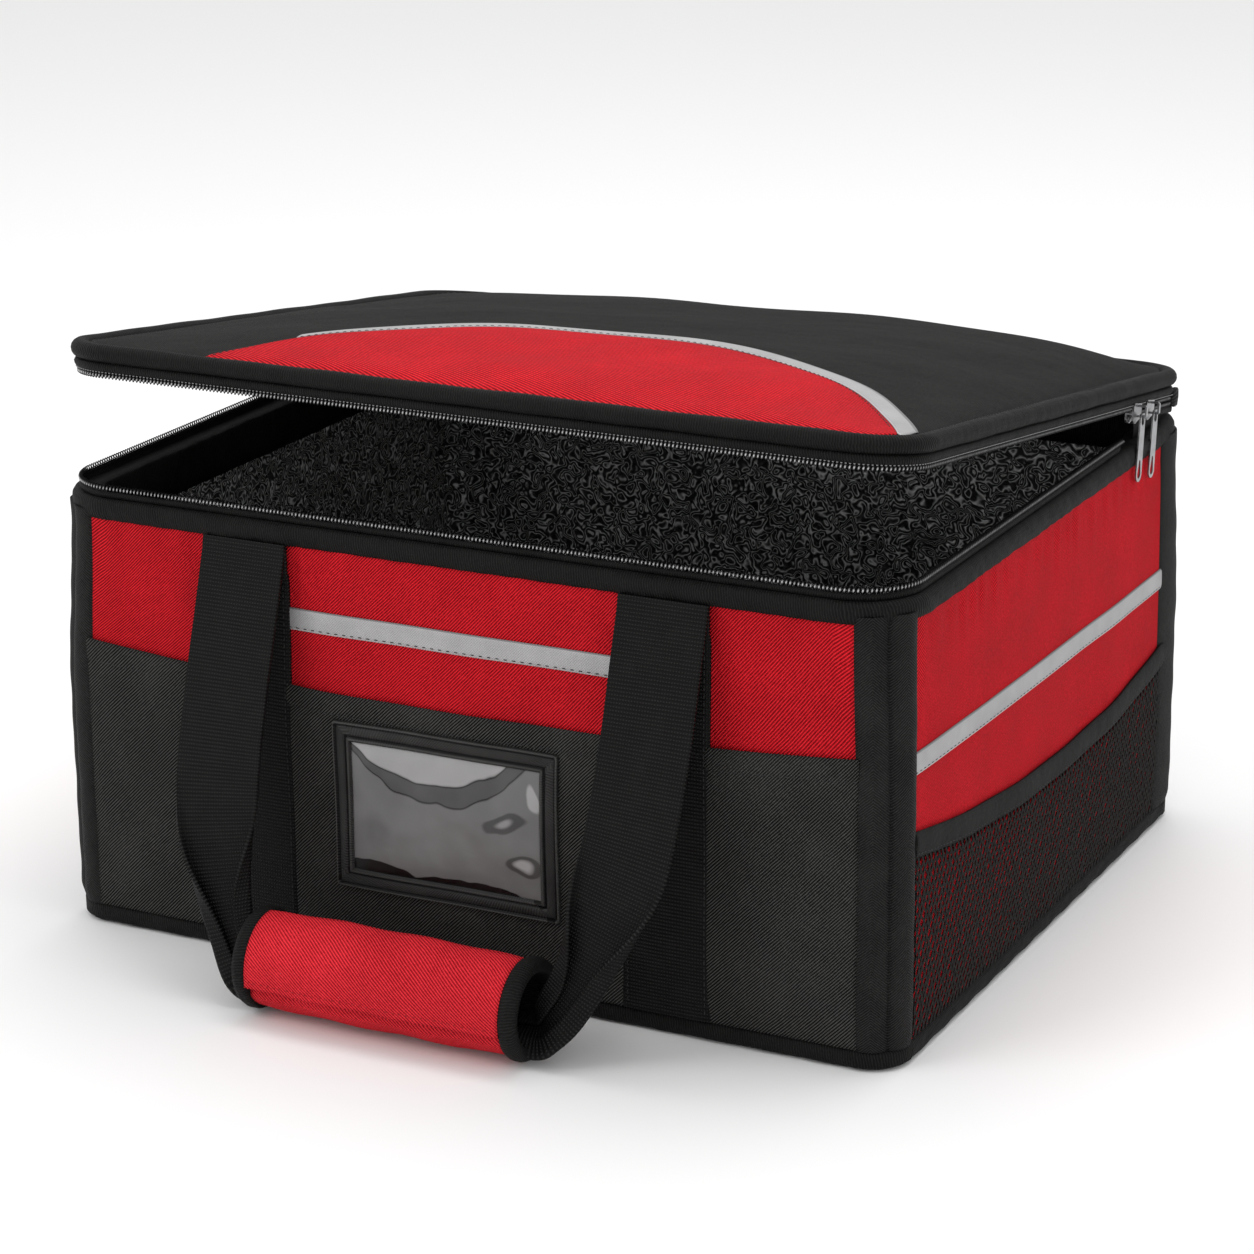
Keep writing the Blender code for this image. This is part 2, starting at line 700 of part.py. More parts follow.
def lid(axis, origin):
    """Lid with its binding, liner, zip tape, upper row of teeth and hinge tape."""
    lid_panel(axis, origin)
    lid_facings(axis, origin)
    piping = []
    for index in range(10):
        angle = 2 * math.pi * index / 10
        piping.append((
            PIPING_INSET + PIPING_RADIUS * math.cos(angle),
            PIPING_CENTRE_HEIGHT + PIPING_RADIUS * math.sin(angle),
        ))
    bound_ring("lid_binding", piping, RIM_RADIUS, "black_binding", axis, origin)
    outline = rounded_outline(BODY_WIDTH, BODY_DEPTH, RIM_RADIUS, LID_INSET + GAP)
    liner_top = LID_BOTTOM - GAP
    rings = []
    for height in (liner_top - LINER_THICKNESS, liner_top):
        rings.append([(x, y - origin[1], height - origin[2]) for x, y in outline])
    loft("lid_liner", rings, "liner_foil", axis)
    route = zip_route(HALF_DEPTH - ZIP_END_SETBACK, HALF_DEPTH - LEFT_LID_ZIP_SETBACK)
    tape("lid_zip_tape", route, CHAIN_TOP + GAP, LID_ZIP_BAND_TOP, "black_binding", axis, origin)
    low_tip = TOOTH_LOW + MESH_CLEARANCE
    chain("lid_zip_chain", ZIP_END_SETBACK, LEFT_LID_ZIP_SETBACK, CHAIN_TOP, low_tip, axis, origin)
    half_length = HALF_WIDTH - RIM_RADIUS
    low = (-half_length, -HINGE_TAPE_THICKNESS / 2, HINGE_ROLL_RADIUS + GAP)
    high = (half_length, HINGE_TAPE_THICKNESS / 2, LID_ZIP_BAND_TOP - origin[2])
    box("lid_hinge_tape", low, high, "black_binding", axis)
    closed_zip(axis, origin)


def rear_hinge_tape():
    """Hinge tape on the rear rim, with the roll that the lid turns about."""
    half = HINGE_TAPE_THICKNESS / 2
    open_angle = math.asin(half / HINGE_ROLL_RADIUS)
    start = -math.pi / 2 + open_angle
    stop = 3 * math.pi / 2 - open_angle
    section = arc_points((HINGE_Y, ZIP_HEIGHT), HINGE_ROLL_RADIUS, start, stop, HINGE_ROLL_SIDES)
    section += [(HINGE_Y - half, BAND_TOP + GAP), (HINGE_Y + half, BAND_TOP + GAP)]
    half_length = HALF_WIDTH - RIM_RADIUS
    rings = [[(x, y, z) for y, z in section] for x in (-half_length, half_length)]
    loft("rear_hinge_tape", rings, "black_binding")


def sewn_webbing(name, centre, facing_sign):
    """Webbing sewn down a wall, folded double at the top where the handle leaves it."""
    near = HALF_DEPTH + GAP
    single = near + WEBBING_THICKNESS
    double = single + WEBBING_THICKNESS
    top = BAND_BOTTOM - GAP
    fold = top - ANCHOR_FOLD_HEIGHT
    section = ((near, PANEL_BOTTOM), (single, PANEL_BOTTOM), (single, fold), (double, fold + GAP),
               (double, top), (near, top))
    rings = []
    for x in (centre - WEBBING_WIDTH / 2, centre + WEBBING_WIDTH / 2):
        rings.append([(x, facing_sign * y, z) for y, z in section])
    loft(name, rings, "black_webbing")


def sewn_webbings():
    """The four sewn webbings, two to a handle."""
    for facing_sign, face in ((-1, "front"), (1, "rear")):
        for side, name in ((-1, "left"), (1, "right")):
            sewn_webbing(face + "_" + name + "_webbing", side * WEBBING_CENTRE, facing_sign)


def smooth_curve(points, count):
    """Return evenly numbered points on a smooth curve through the given points."""
    padded = [points[0] * 2 - points[1]] + points + [points[-1] * 2 - points[-2]]
    spans = len(points) - 1
    result = []
    for index in range(count + 1):
        place = spans * index / count
        leg = min(int(place), spans - 1)
        share = place - leg
        before, start, stop, after = padded[leg:leg + 4]
        result.append(0.5 * (
            2 * start + (stop - before) * share
            + (2 * before - 5 * start + 4 * stop - after) * share ** 2
            + (3 * start - before - 3 * stop + after) * share ** 3
        ))
    return result


def ease(value):
    """Return a share that leaves zero and reaches one gently."""
    value = min(max(value, 0.0), 1.0)
    return value * value * (3 - 2 * value)


def half_handle(side, facing_sign, reach, pivot):
    """Return the centre line of one half of a handle, from its pivot to the middle."""
    seat = Vector((
        GRIP_SHIFT, facing_sign * reach, GRIP_CENTRE_HEIGHT - STRAP_SEAT - HANDLE_PIVOT_HEIGHT,
    ))
    grip_end = GRIP_SHIFT + side * (GRIP_LENGTH / 2 + GRIP_BINDING_LENGTH)
    points = []
    for spread, forward, drop in HANDLE_ROUTE_SHARES:
        x = side * WEBBING_CENTRE + (grip_end - side * WEBBING_CENTRE) * spread
        points.append(Vector((x, seat.y * forward, seat.z * drop)))
    line = smooth_curve(points, STRAP_STATIONS)
    inner = side * GRIP_LENGTH / 2 + GRIP_SHIFT
    for index in range(GRIP_STATIONS):
        share = (index + 1) / GRIP_STATIONS
        line.append(Vector((inner + (GRIP_SHIFT - inner) * share, seat.y, seat.z)))
    return line


def strap_sections(line, drop):
    """Return the webbing's section at each point, twisting and folding towards the grip."""
    rings = []
    for index, place in enumerate(line):
        before = line[max(index - 1, 0)]
        after = line[min(index + 1, len(line) - 1)]
        along = (after - before).normalized()
        progress = ease((place.z / drop - TWIST_START_SHARE) / (TWIST_END_SHARE - TWIST_START_SHARE))
        angle = progress * math.pi / 2
        across = Vector((math.cos(angle), math.sin(angle), 0.0))
        across = (across - along * across.dot(along)).normalized()
        normal = along.cross(across)
        half_width = (WEBBING_WIDTH + (FOLDED_WIDTH - WEBBING_WIDTH) * progress) / 2
        half_thickness = (WEBBING_THICKNESS + (FOLDED_THICKNESS - WEBBING_THICKNESS) * progress) / 2
        rings.append([
            place + across * half_width * u + normal * half_thickness * v
            for u, v in ((-1, -1), (1, -1), (1, 1), (-1, 1))
        ])
    return rings


def handle_strap(name, facing_sign, reach, axis):
    """Webbing loop of one handle, from one anchor to the other."""
    right = half_handle(1, facing_sign, reach, axis.location)
    left = half_handle(-1, facing_sign, reach, axis.location)
    drop = right[-1].z
    rings = strap_sections(right, drop)
    mirrored = []
    for section in strap_sections([Vector((-p.x, p.y, p.z)) for p in left], drop):
        mirrored.append([Vector((-p.x, p.y, p.z)) for p in section])
    rings += mirrored[-2::-1]
    loft(name, rings, "black_webbing", axis)


def grip_place(reach):
    """Return the grip's centre, measured from the front handle's pivot."""
    return Vector((GRIP_SHIFT, -reach, GRIP_CENTRE_HEIGHT - HANDLE_PIVOT_HEIGHT))


def wrap_stations():
    """Return angles round the grip with the wrap's radius at each; zero angle faces the front."""
    recess = GRIP_RADIUS - FLAP_THICKNESS - GAP
    start = FLAP_LOW_ANGLE - FLAP_EDGE_GAP
    stop = FLAP_HIGH_ANGLE + FLAP_EDGE_GAP
    stations = []
    for index in range(FLAP_STEPS + 1):
        stations.append((start + (stop - start) * index / FLAP_STEPS, recess))
    rest = 2 * math.pi - (stop - start) - 2 * FLAP_EDGE_GAP
    for index in range(GRIP_STEPS + 1):
        stations.append((stop + FLAP_EDGE_GAP + rest * index / GRIP_STEPS, GRIP_RADIUS))
    return stations


def grip_profile(radius=None):
    """Return a closed profile about the grip's centre, round or with the flap's recess."""
    profile = []
    for angle, wrap_radius in wrap_stations():
        size = radius or wrap_radius
        profile.append((-size * math.cos(angle), size * math.sin(angle)))
    return profile


def tube_between(name, outer, inner, start, stop, centre, finish, parent):
    """Return a tube along X with its own outer and inner profiles."""
    rings = []
    for profile, x in ((outer, start), (outer, stop), (inner, stop), (inner, start)):
        rings.append([(centre.x + x, centre.y + y, centre.z + z) for y, z in profile])
    return loft(name, rings, finish, parent, closed=True)


def grip(axis):
    """Padded wrap with its end bindings, and the flap that closes it."""
    centre = grip_place(FRONT_REACH)
    half = GRIP_LENGTH / 2
    bore = grip_profile(GRIP_BORE)
    tube_between("grip_wrap", grip_profile(), bore, -half, half, centre, "red_twill", axis)
    proud = grip_profile(GRIP_RADIUS + GRIP_BINDING_PROUD)
    for side, name in ((-1, "left_grip_binding"), (1, "right_grip_binding")):
        near = side * (half + GAP)
        far = side * (half + GRIP_BINDING_LENGTH)
        tube_between(name, proud, bore, near, far, centre, "black_binding", axis)
    flap_axis = axis_empty("grip_flap_axis", (0.0, 0.0, 0.0))
    flap_axis.parent = axis
    pivot = Vector((
        0.0,
        centre.y - GRIP_RADIUS * math.cos(FLAP_HIGH_ANGLE),
        centre.z + GRIP_RADIUS * math.sin(FLAP_HIGH_ANGLE),
    ))
    flap_axis.location = pivot
    shell = []
    for radius, order in ((GRIP_RADIUS, 1), (GRIP_RADIUS - FLAP_THICKNESS, -1)):
        for index in range(FLAP_STEPS + 1)[::order]:
            angle = FLAP_LOW_ANGLE + (FLAP_HIGH_ANGLE - FLAP_LOW_ANGLE) * index / FLAP_STEPS
            shell.append((centre.y - radius * math.cos(angle), centre.z + radius * math.sin(angle)))
    rings = []
    for x in (centre.x - half, centre.x + half):
        rings.append([(x, y - pivot.y, z - pivot.z) for y, z in shell])
    loft("grip_flap", rings, "red_twill", flap_axis)


def handles():
    """Front handle with its grip, and the plain rear handle."""
    for facing_sign, face, reach in ((-1, "front", FRONT_REACH), (1, "rear", REAR_REACH)):
        place = (0.0, facing_sign * (HALF_DEPTH + PIVOT_OFFSET), HANDLE_PIVOT_HEIGHT)
        axis = axis_empty(face + "_handle_axis", place)
        handle_strap(face + "_handle_strap", facing_sign, reach, axis)
        if face == "front":
            grip(axis)


def pocket_top(x):
    """Return the height of the front pocket's edge, which sags towards the middle."""
    return POCKET_HEIGHT + POCKET_RISE * (x / BAG_SIDE_X) ** 2


def pocket_bay(name, start, stop):
    """One bay of the front pocket, full in the middle and hemmed at the top."""
    rings = []
    for column in range(POCKET_COLUMNS + 1):
        across = column / POCKET_COLUMNS
        x = start + (stop - start) * across
        outer = []
        inner = []
        for row in range(POCKET_ROWS + 1):
            up = row / POCKET_ROWS
            hem_share = 1 - POCKET_HEM / POCKET_HEIGHT
            height_share = up / (1 - 1 / POCKET_ROWS) * hem_share if row < POCKET_ROWS else 1.0
            z = PANEL_BOTTOM + (pocket_top(x) - PANEL_BOTTOM) * height_share
            side_swell = 1 - abs(2 * across - 1) ** BULGE_POWER
            swell = POCKET_BULGE * side_swell * (1 - abs(2 * up - 1) ** BULGE_POWER)
            extra = POCKET_HEM_EXTRA if row >= POCKET_ROWS - 1 else 0.0
            back = HALF_DEPTH + GAP + swell
            inner.append((x, -back, z))
            outer.append((x, -back - POCKET_THICKNESS - extra, z))
        rings.append(inner + outer[::-1])
    loft(name, rings, "black_twill")


def front_pocket():
    """Three pocket bays between the webbings, with a window on the middle one."""
    pocket_bay("front_pocket_left", -BAG_SIDE_X, -WEBBING_OUTER)
    pocket_bay("front_pocket_middle", -WEBBING_INNER, WEBBING_INNER)
    pocket_bay("front_pocket_right", WEBBING_OUTER, BAG_SIDE_X)
    face = HALF_DEPTH + GAP + POCKET_BULGE + POCKET_THICKNESS + GAP
    centre_z = WINDOW_BOTTOM + WINDOW_HEIGHT / 2
    section = (
        (0.0, 0.0),
        (0.0, WINDOW_OUTER_THICKNESS),
        (WINDOW_STEP, WINDOW_OUTER_THICKNESS),
        (WINDOW_STEP, WINDOW_INNER_THICKNESS),
        (WINDOW_BORDER, WINDOW_INNER_THICKNESS),
        (WINDOW_BORDER, 0.0),
    )
    rings = []
    for inset, depth in section:
        outline = rounded_outline(WINDOW_WIDTH, WINDOW_HEIGHT, WINDOW_RADIUS + WINDOW_BORDER, inset)
        rings.append([(WINDOW_CENTRE_X + x, -face - depth, centre_z + z) for x, z in outline])
    loft("id_window_frame", rings, "vinyl", closed=True)
    inset = WINDOW_BORDER + GAP
    outline = rounded_outline(WINDOW_WIDTH, WINDOW_HEIGHT, WINDOW_RADIUS + WINDOW_BORDER, inset)
    rings = []
    for depth in (GAP, GAP + FILM_THICKNESS):
        rings.append([(WINDOW_CENTRE_X + x, -face - depth, centre_z + z) for x, z in outline])
    loft("id_window_film", rings, "clear_film")


def sag_between(y, front, middle, rear):
    """Return the height of an edge that sags between the front and the rear of a side."""
    along = (y + BAG_SIDE_Y) / (2 * BAG_SIDE_Y)
    if along < NET_LOW_SHARE:
        share = 1 - along / NET_LOW_SHARE
        return middle + (front - middle) * share ** 2
    share = (along - NET_LOW_SHARE) / (1 - NET_LOW_SHARE)
    return middle + (rear - middle) * share ** 2


def pocket_edge(drop):
    """Return the points of the side pocket's edge, lowered by a drop, from front to rear."""
    points = []
    for index in range(SIDE_COLUMNS + 1):
        y = -BAG_SIDE_Y + 2 * BAG_SIDE_Y * index / SIDE_COLUMNS
        points.append((y, sag_between(y, NET_TOP_FRONT, NET_TOP_MIDDLE, NET_TOP_REAR) - drop))
    return points


def net_holes(top_drop):
    """Return staggered diamond gaps that fill the net between its borders."""
    holes = []
    start = -BAG_SIDE_Y + NET_BORDER
    step = 2 * (BAG_SIDE_Y - NET_BORDER) / NET_COLUMNS
    for row in range(NET_ROWS):
        shift = row % 2 / 2
        for column in range(NET_COLUMNS - row % 2):
            y = start + (column + 0.5 + shift) * step
            low = PANEL_BOTTOM + NET_BORDER
            high = sag_between(y, NET_TOP_FRONT, NET_TOP_MIDDLE, NET_TOP_REAR) - top_drop - NET_BORDER
            rise = (high - low) / (NET_ROWS + 1)
            z = low + (row + 1) * rise
            half_y = step / 2 - NET_STRAND
            half_z = rise - NET_STRAND
            holes.append([(y - half_y, z), (y, z - half_z), (y + half_y, z), (y, z + half_z)])
    return holes


def side_pockets():
    """Mesh pocket on the right side, and the plain lower panel on the left side."""
    face = HALF_WIDTH + GAP
    band = pocket_edge(NET_BAND_HEIGHT) + pocket_edge(0.0)[::-1]
    side_plate("mesh_pocket_band", [band], NET_BAND_THICKNESS, face, 1, "black_binding")
    foot = [(BAG_SIDE_Y, PANEL_BOTTOM), (-BAG_SIDE_Y, PANEL_BOTTOM)]
    net_drop = NET_BAND_HEIGHT + GAP
    outline = pocket_edge(net_drop) + foot
    side_plate("mesh_pocket_net", [outline] + net_holes(net_drop), NET_THICKNESS, face, 1, "black_mesh")
    panel = pocket_edge(0.0) + foot
    side_plate("left_lower_panel", [panel], SIDE_PANEL_THICKNESS, face, -1, "black_twill")


def reflective_strips():
    """Reflective strips on the front and both sides."""
    near = HALF_DEPTH + GAP
    bottom = POCKET_HEIGHT + (BAND_BOTTOM - POCKET_HEIGHT) * FRONT_STRIP_HEIGHT_SHARE
    low = (-WEBBING_INNER, -near - REFLECTIVE_THICKNESS, bottom)
    high = (WEBBING_INNER, -near, bottom + REFLECTIVE_WIDTH)
    box("front_reflective_strip", low, high, "reflective_tape")
    for side, name in ((1, "right_reflective_strip"), (-1, "left_reflective_strip")):
        outline = [
            (-BAG_SIDE_Y, SIDE_STRIP_FRONT),
            (BAG_SIDE_Y, SIDE_STRIP_REAR),
            (BAG_SIDE_Y, SIDE_STRIP_REAR + REFLECTIVE_WIDTH),
            (-BAG_SIDE_Y, SIDE_STRIP_FRONT + REFLECTIVE_WIDTH),
        ]
        side_plate(name, [outline], REFLECTIVE_THICKNESS, HALF_WIDTH + GAP, side, "reflective_tape")


def rear_lower_panels():
    """Plain lower panels of the rear, between and beside the webbings."""
    near = HALF_DEPTH + GAP
    spans = (
        ("rear_lower_left", -BAG_SIDE_X, -WEBBING_OUTER),
        ("rear_lower_middle", -WEBBING_INNER, WEBBING_INNER),
        ("rear_lower_right", WEBBING_OUTER, BAG_SIDE_X),
    )
    for name, start, stop in spans:
        low = (start, near, PANEL_BOTTOM)
        high = (stop, near + SIDE_PANEL_THICKNESS, POCKET_HEIGHT)
        box(name, low, high, "black_twill")


def slider_block():
    """Return the slider's shield-shaped block before its channels are cut."""
    half = SLIDER_LENGTH / 2
    outline_shares = ((-1.0, 0.7), (-0.86, 0.96), (-0.6, 1.0), (0.0, 0.9), (0.7, 0.84), (1.0, 0.74))
    upper = [(half * along, SLIDER_TOP * height) for along, height in outline_shares]
    drop_shares = ((-1.0, 0.74), (-0.86, 0.97), (-0.4, 1.0), (0.2, 0.78), (0.8, 0.67), (1.0, 0.6))
    lower = [(half * along, SLIDER_BOTTOM * height) for along, height in drop_shares]
    outline = upper + lower[::-1]
    return [[(x, y, z) for y, z in outline] for x in (-SLIDER_FACE, SLIDER_FACE)]


def cutter(name, low, high, parent):
    """Return a hidden block that a Boolean takes away."""
    block = box(name, low, high, "slider_metal", parent)
    block.hide_render = True
    block.display_type = "WIRE"
    return block


def slider_bail(parent):
    """Return the arch on the slider's face that the pull tab hangs on."""
    sink = SLIDER_PLATE / 2
    root = SLIDER_FACE - sink
    inside = SLIDER_FACE + BAIL_REACH
    outside = inside + BAIL_BAR
    half = BAIL_OPENING / 2
    outer = half + BAIL_BAR
    soft = BAIL_BAR * BAIL_SHOULDER_SHARE
    section = (
        (root, -outer), (outside - soft, -outer), (outside, -outer + soft), (outside, outer - soft),
        (outside - soft, outer), (root, outer), (root, half), (inside, half), (inside, -half), (root, -half),
    )
    rings = [[(x, y, z) for x, z in section] for y in (-BAIL_WIDTH / 2, BAIL_WIDTH / 2)]
    bail = loft("bail_piece", rings, "slider_metal", parent)
    bail.hide_render = True
    bail.display_type = "WIRE"
    return bail


def slider(name, centre_y, axis, origin):
    """Zip slider with a channel for each row of teeth, a post between them and a bail."""
    body = loft(name, slider_block(), "slider_metal", axis)
    body.location = (CHAIN_X, centre_y - origin[1], ZIP_HEIGHT - origin[2])
    reach = SLIDER_LENGTH
    chamber = CHAIN_THICKNESS / 2 + SLIDER_CLEARANCE
    slot = TAPE_THICKNESS / 2 + SLIDER_CLEARANCE
    top = SLIDER_TOP - SLIDER_FLANGE
    bottom = SLIDER_BOTTOM + SLIDER_FLANGE
    post_end = -SLIDER_LENGTH / 2 + SLIDER_POST_LENGTH
    joined = CHAIN_BOTTOM - ZIP_HEIGHT - SLIDER_CLEARANCE
    parts = (
        ("upper", (-chamber, -reach, POST_TOP), (chamber, reach, top)),
        ("joined", (-chamber, post_end, joined), (chamber, reach, top)),
        ("lower", (-chamber, -reach, bottom), (chamber, post_end + GAP, POST_TOP - SLIDER_POST_HEIGHT)),
        ("upper_slot", (-slot, -reach, top - GAP), (slot, reach, top + reach)),
        ("lower_slot", (-slot, -reach, bottom - reach), (slot, reach, joined + GAP)),
    )
    for part, low_corner, high_corner in parts:
        cut = body.modifiers.new(part, "BOOLEAN")
        cut.operation = "DIFFERENCE"
        cut.solver = "EXACT"
        cut.object = cutter(name + "_" + part + "_cutter", low_corner, high_corner, body)
    join = body.modifiers.new("bail", "BOOLEAN")
    join.operation = "UNION"
    join.solver = "EXACT"
    join.object = slider_bail(body)
    join.object.name = name + "_bail_guide"
    return body


def pull_outlines():
    """Return the outline of a pull tab and of its two holes, hanging from its crossbar."""
    top = PULL_CROSSBAR / 2
    bottom = top - PULL_LENGTH
    half_top = PULL_TOP_WIDTH / 2
    half_bottom = PULL_BOTTOM_WIDTH / 2
    lower = arc_points((0.0, bottom + half_bottom), half_bottom, -math.pi, 0.0, 12)
    shoulder = half_top * PULL_SHOULDER_SHARE
    right = arc_points((half_top - shoulder, top - shoulder), shoulder, 0.0, math.pi / 2, 4)
    left = arc_points((-half_top + shoulder, top - shoulder), shoulder, math.pi / 2, math.pi, 4)
    outline = lower + right + left
    eye_half = PULL_EYE_WIDTH / 2
    eye_top = -PULL_CROSSBAR / 2
    eye_low = eye_top - PULL_EYE_LENGTH
    eye = arc_points((0.0, eye_low + eye_half), eye_half, -math.pi, 0.0, 8)
    eye += [(eye_half, eye_top), (-eye_half, eye_top)]
    hole_half = PULL_HOLE_WIDTH / 2
    hole_centre = bottom + PULL_HOLE_MARGIN + hole_half
    hole = arc_points((0.0, hole_centre), hole_half, -math.pi * 1.05, math.pi * 0.05, 10)
    hole_top = hole_half * PULL_HOLE_TOP_SHARE
    hole.append((hole_top, hole_centre - hole_half + PULL_HOLE_LENGTH))
    hole.append((-hole_top, hole_centre - hole_half + PULL_HOLE_LENGTH))
    return [outline, eye, hole]


def pull_tab(name, centre_y, lid_axis, origin):
    """Flat pull tab that hangs from the slider's bail and swings out about it."""
    axis = axis_empty(name + "_axis", (0.0, 0.0, 0.0))
    axis.parent = lid_axis
    drop = BAIL_OPENING / 2 - GAP - PULL_CROSSBAR / 2
    height = ZIP_HEIGHT - drop
    reach = CHAIN_X + SLIDER_FACE + PULL_AXIS_REACH
    axis.location = (reach, centre_y - origin[1], height - origin[2])
    mesh = flat_mesh(name, pull_outlines(), PULL_THICKNESS)
    mesh.transform(Matrix(((0, 0, 1, 0), (1, 0, 0, 0), (0, 1, 0, 0), (0, 0, 0, 1))))
    add_object(name, mesh, "slider_metal", axis)


def sliders(axis, origin):
    """The two sliders at the right rear of the lid's edge, each with its pull tab."""
    for name, setback in SLIDER_SETBACKS.items():
        centre_y = HALF_DEPTH - setback
        slider("zip_slider_" + name, centre_y, axis, origin)
        pull_tab("pull_tab_" + name, centre_y, axis, origin)


def build():
    """Model the whole bag."""
    clear_scene()
    base_and_walls()
    corner_bindings()
    liners()
    bindings()
    body_zip()
    rear_hinge_tape()
    front_pocket()
    side_pockets()
    reflective_strips()
    rear_lower_panels()
    sewn_webbings()
    origin = (0.0, HINGE_Y, ZIP_HEIGHT)
    axis = axis_empty("lid_axis", origin, -LID_OPEN_ANGLE)
    lid(axis, origin)
    sliders(axis, origin)
    handles()


build()
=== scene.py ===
"""Looks of the insulated pizza delivery bag: its cloth, webbing, zip, piping, lining and light.

Metres, +Z up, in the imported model's frame. Lid pieces are shaped with the lid shut and then
turned to the angle that the lid rests at.
"""

import math

import bpy
import numpy as np
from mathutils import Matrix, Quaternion, Vector


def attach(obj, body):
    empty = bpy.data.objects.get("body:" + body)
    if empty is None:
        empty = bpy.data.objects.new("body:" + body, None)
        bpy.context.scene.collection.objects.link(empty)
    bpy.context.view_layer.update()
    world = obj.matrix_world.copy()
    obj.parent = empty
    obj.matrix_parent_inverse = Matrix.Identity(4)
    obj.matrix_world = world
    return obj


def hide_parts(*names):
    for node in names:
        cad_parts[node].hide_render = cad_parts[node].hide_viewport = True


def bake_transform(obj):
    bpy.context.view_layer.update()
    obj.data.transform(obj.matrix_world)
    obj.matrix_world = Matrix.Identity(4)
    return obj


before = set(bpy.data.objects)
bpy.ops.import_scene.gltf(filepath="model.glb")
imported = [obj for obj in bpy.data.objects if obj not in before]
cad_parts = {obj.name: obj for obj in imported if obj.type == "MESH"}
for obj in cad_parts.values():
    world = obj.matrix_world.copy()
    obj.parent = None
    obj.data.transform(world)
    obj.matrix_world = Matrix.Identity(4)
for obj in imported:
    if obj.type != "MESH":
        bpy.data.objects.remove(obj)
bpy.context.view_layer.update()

# Body of the bag
HALF_WIDTH = 0.249
HALF_DEPTH = 0.216
CORNER_RADIUS = 0.022
RIM_RADIUS = 0.036
WALL_THICKNESS = 0.012
WALL_BOTTOM = 0.0115
WALL_TOP = 0.245
PANEL_BOTTOM = 0.0113
BAND_BOTTOM = 0.236
BAND_TOP = 0.2465
RING_SPACING = 0.003
CORNER_STEPS = 16
GAP = 0.0003
ROLL_WIDTH = 0.0173
ROLL_HEM = 0.0012
REAR_ROLL_EXTRA = 0.021
BASE_INSET = 0.0035

# Cloth thicknesses
FILM = 0.0005
THIN_CLOTH = 0.0006
TAPE = 0.0008
PANEL_CLOTH = 0.001
POCKET_CLOTH = 0.0012

# Lining
LINER_INSET = 0.0128
LINER_BOTTOM = 0.0128
LINER_TOP = 0.2375
LINER_TURN = 0.0132
FLOOR_TURN = 0.014
FLOOR_HEIGHT = 0.0124
FLOOR_FILM_INSET = 0.0006

# Zip, in the lid's shut place
ZIP_INSET = 0.003
COIL_PITCH = 0.0022
COIL_STEP = COIL_PITCH / 9
COIL_WIRE = 0.00042
COIL_HALF_THICKNESS = 0.0011
COIL_HALF_HEIGHT = 0.0014
BODY_COIL_HEIGHT = 0.2524
LID_COIL_HEIGHT = 0.2556
BODY_ZIP_RIGHT = 0.110
BODY_ZIP_LEFT = 0.195
LID_ZIP_RIGHT = 0.195
LID_ZIP_LEFT = 0.186
CLOSED_START = 0.135

# Lid
HINGE_Y = 0.213
HINGE_Z = 0.254
HINGE_BEND_START = 0.2505
LID_OPEN_ANGLE = math.radians(7.8)
LID_INSET = 0.0083
LID_HALF_X = HALF_WIDTH - LID_INSET
LID_HALF_Y = HALF_DEPTH - LID_INSET
LID_TURN = RIM_RADIUS - LID_INSET
LID_EDGE_TOP = 0.2709
LID_CROWN = 0.0205
LID_SHELL = 0.0075
LID_FILM_HEIGHT = 0.2620
LID_FILM_INSET = 0.0008
CROWN_POWER = 2.6
PIPING_RADIUS = 0.005
PIPING_INSET = 0.003
PIPING_HEIGHT = 0.2674
ARC_CENTRE_X = 0.042
ARC_CENTRE_Y = -0.295
ARC_RADIUS = 0.217
STRIP_WIDTH = 0.012
STRIP_START = -0.128

# Gussets at the rear corners
GUSSET_INSET = 0.0066
CORNER_CLOTH_BOTTOM = 0.2455

# Webbing, handles and grip
WEBBING_WIDTH = 0.050
WEBBING_THICKNESS = 0.002
WEBBING_CENTRE = 0.123
WEBBING_INNER = 0.0977
WEBBING_OUTER = 0.1483
SIDE_EDGE_X = 0.2267
SIDE_EDGE_Y = 0.1937
UNDER_ROLL_X = 0.2290
UNDER_ROLL_Y = 0.1962
PIVOT_Y = 0.2216
PIVOT_Z = 0.229
FRONT_REACH = 0.054
REAR_REACH = 0.020
FOLDED_WIDTH = 0.025
FOLD_START_SHARE = 0.45
FOLD_END_SHARE = 0.92
FOLD_RADIUS = 0.0013
TWIST_LENGTH = 0.055
GRIP_CENTRE = (-0.006, -0.2756, 0.0275)
GRIP_RADIUS = 0.026
GRIP_LENGTH = 0.150
GRIP_BORE = 0.0195
GRIP_BINDING = 0.009
RECESS_START = math.radians(-15.5)
RECESS_END = math.radians(96.5)
FLAP_START = math.radians(-14)
FLAP_END = math.radians(93.5)
STRAP_SEAT_Z = 0.0149
# Shares of the way from anchor to grip: sideways, outwards and down
ROUTE_SHARES = (
    (0.00, 0.00, 0.00), (0.00, 0.16, 0.13), (0.00, 0.40, 0.32), (0.06, 0.68, 0.54),
    (0.26, 0.88, 0.72), (0.52, 1.00, 0.865), (0.82, 1.03, 0.965), (1.00, 1.00, 1.00),
)

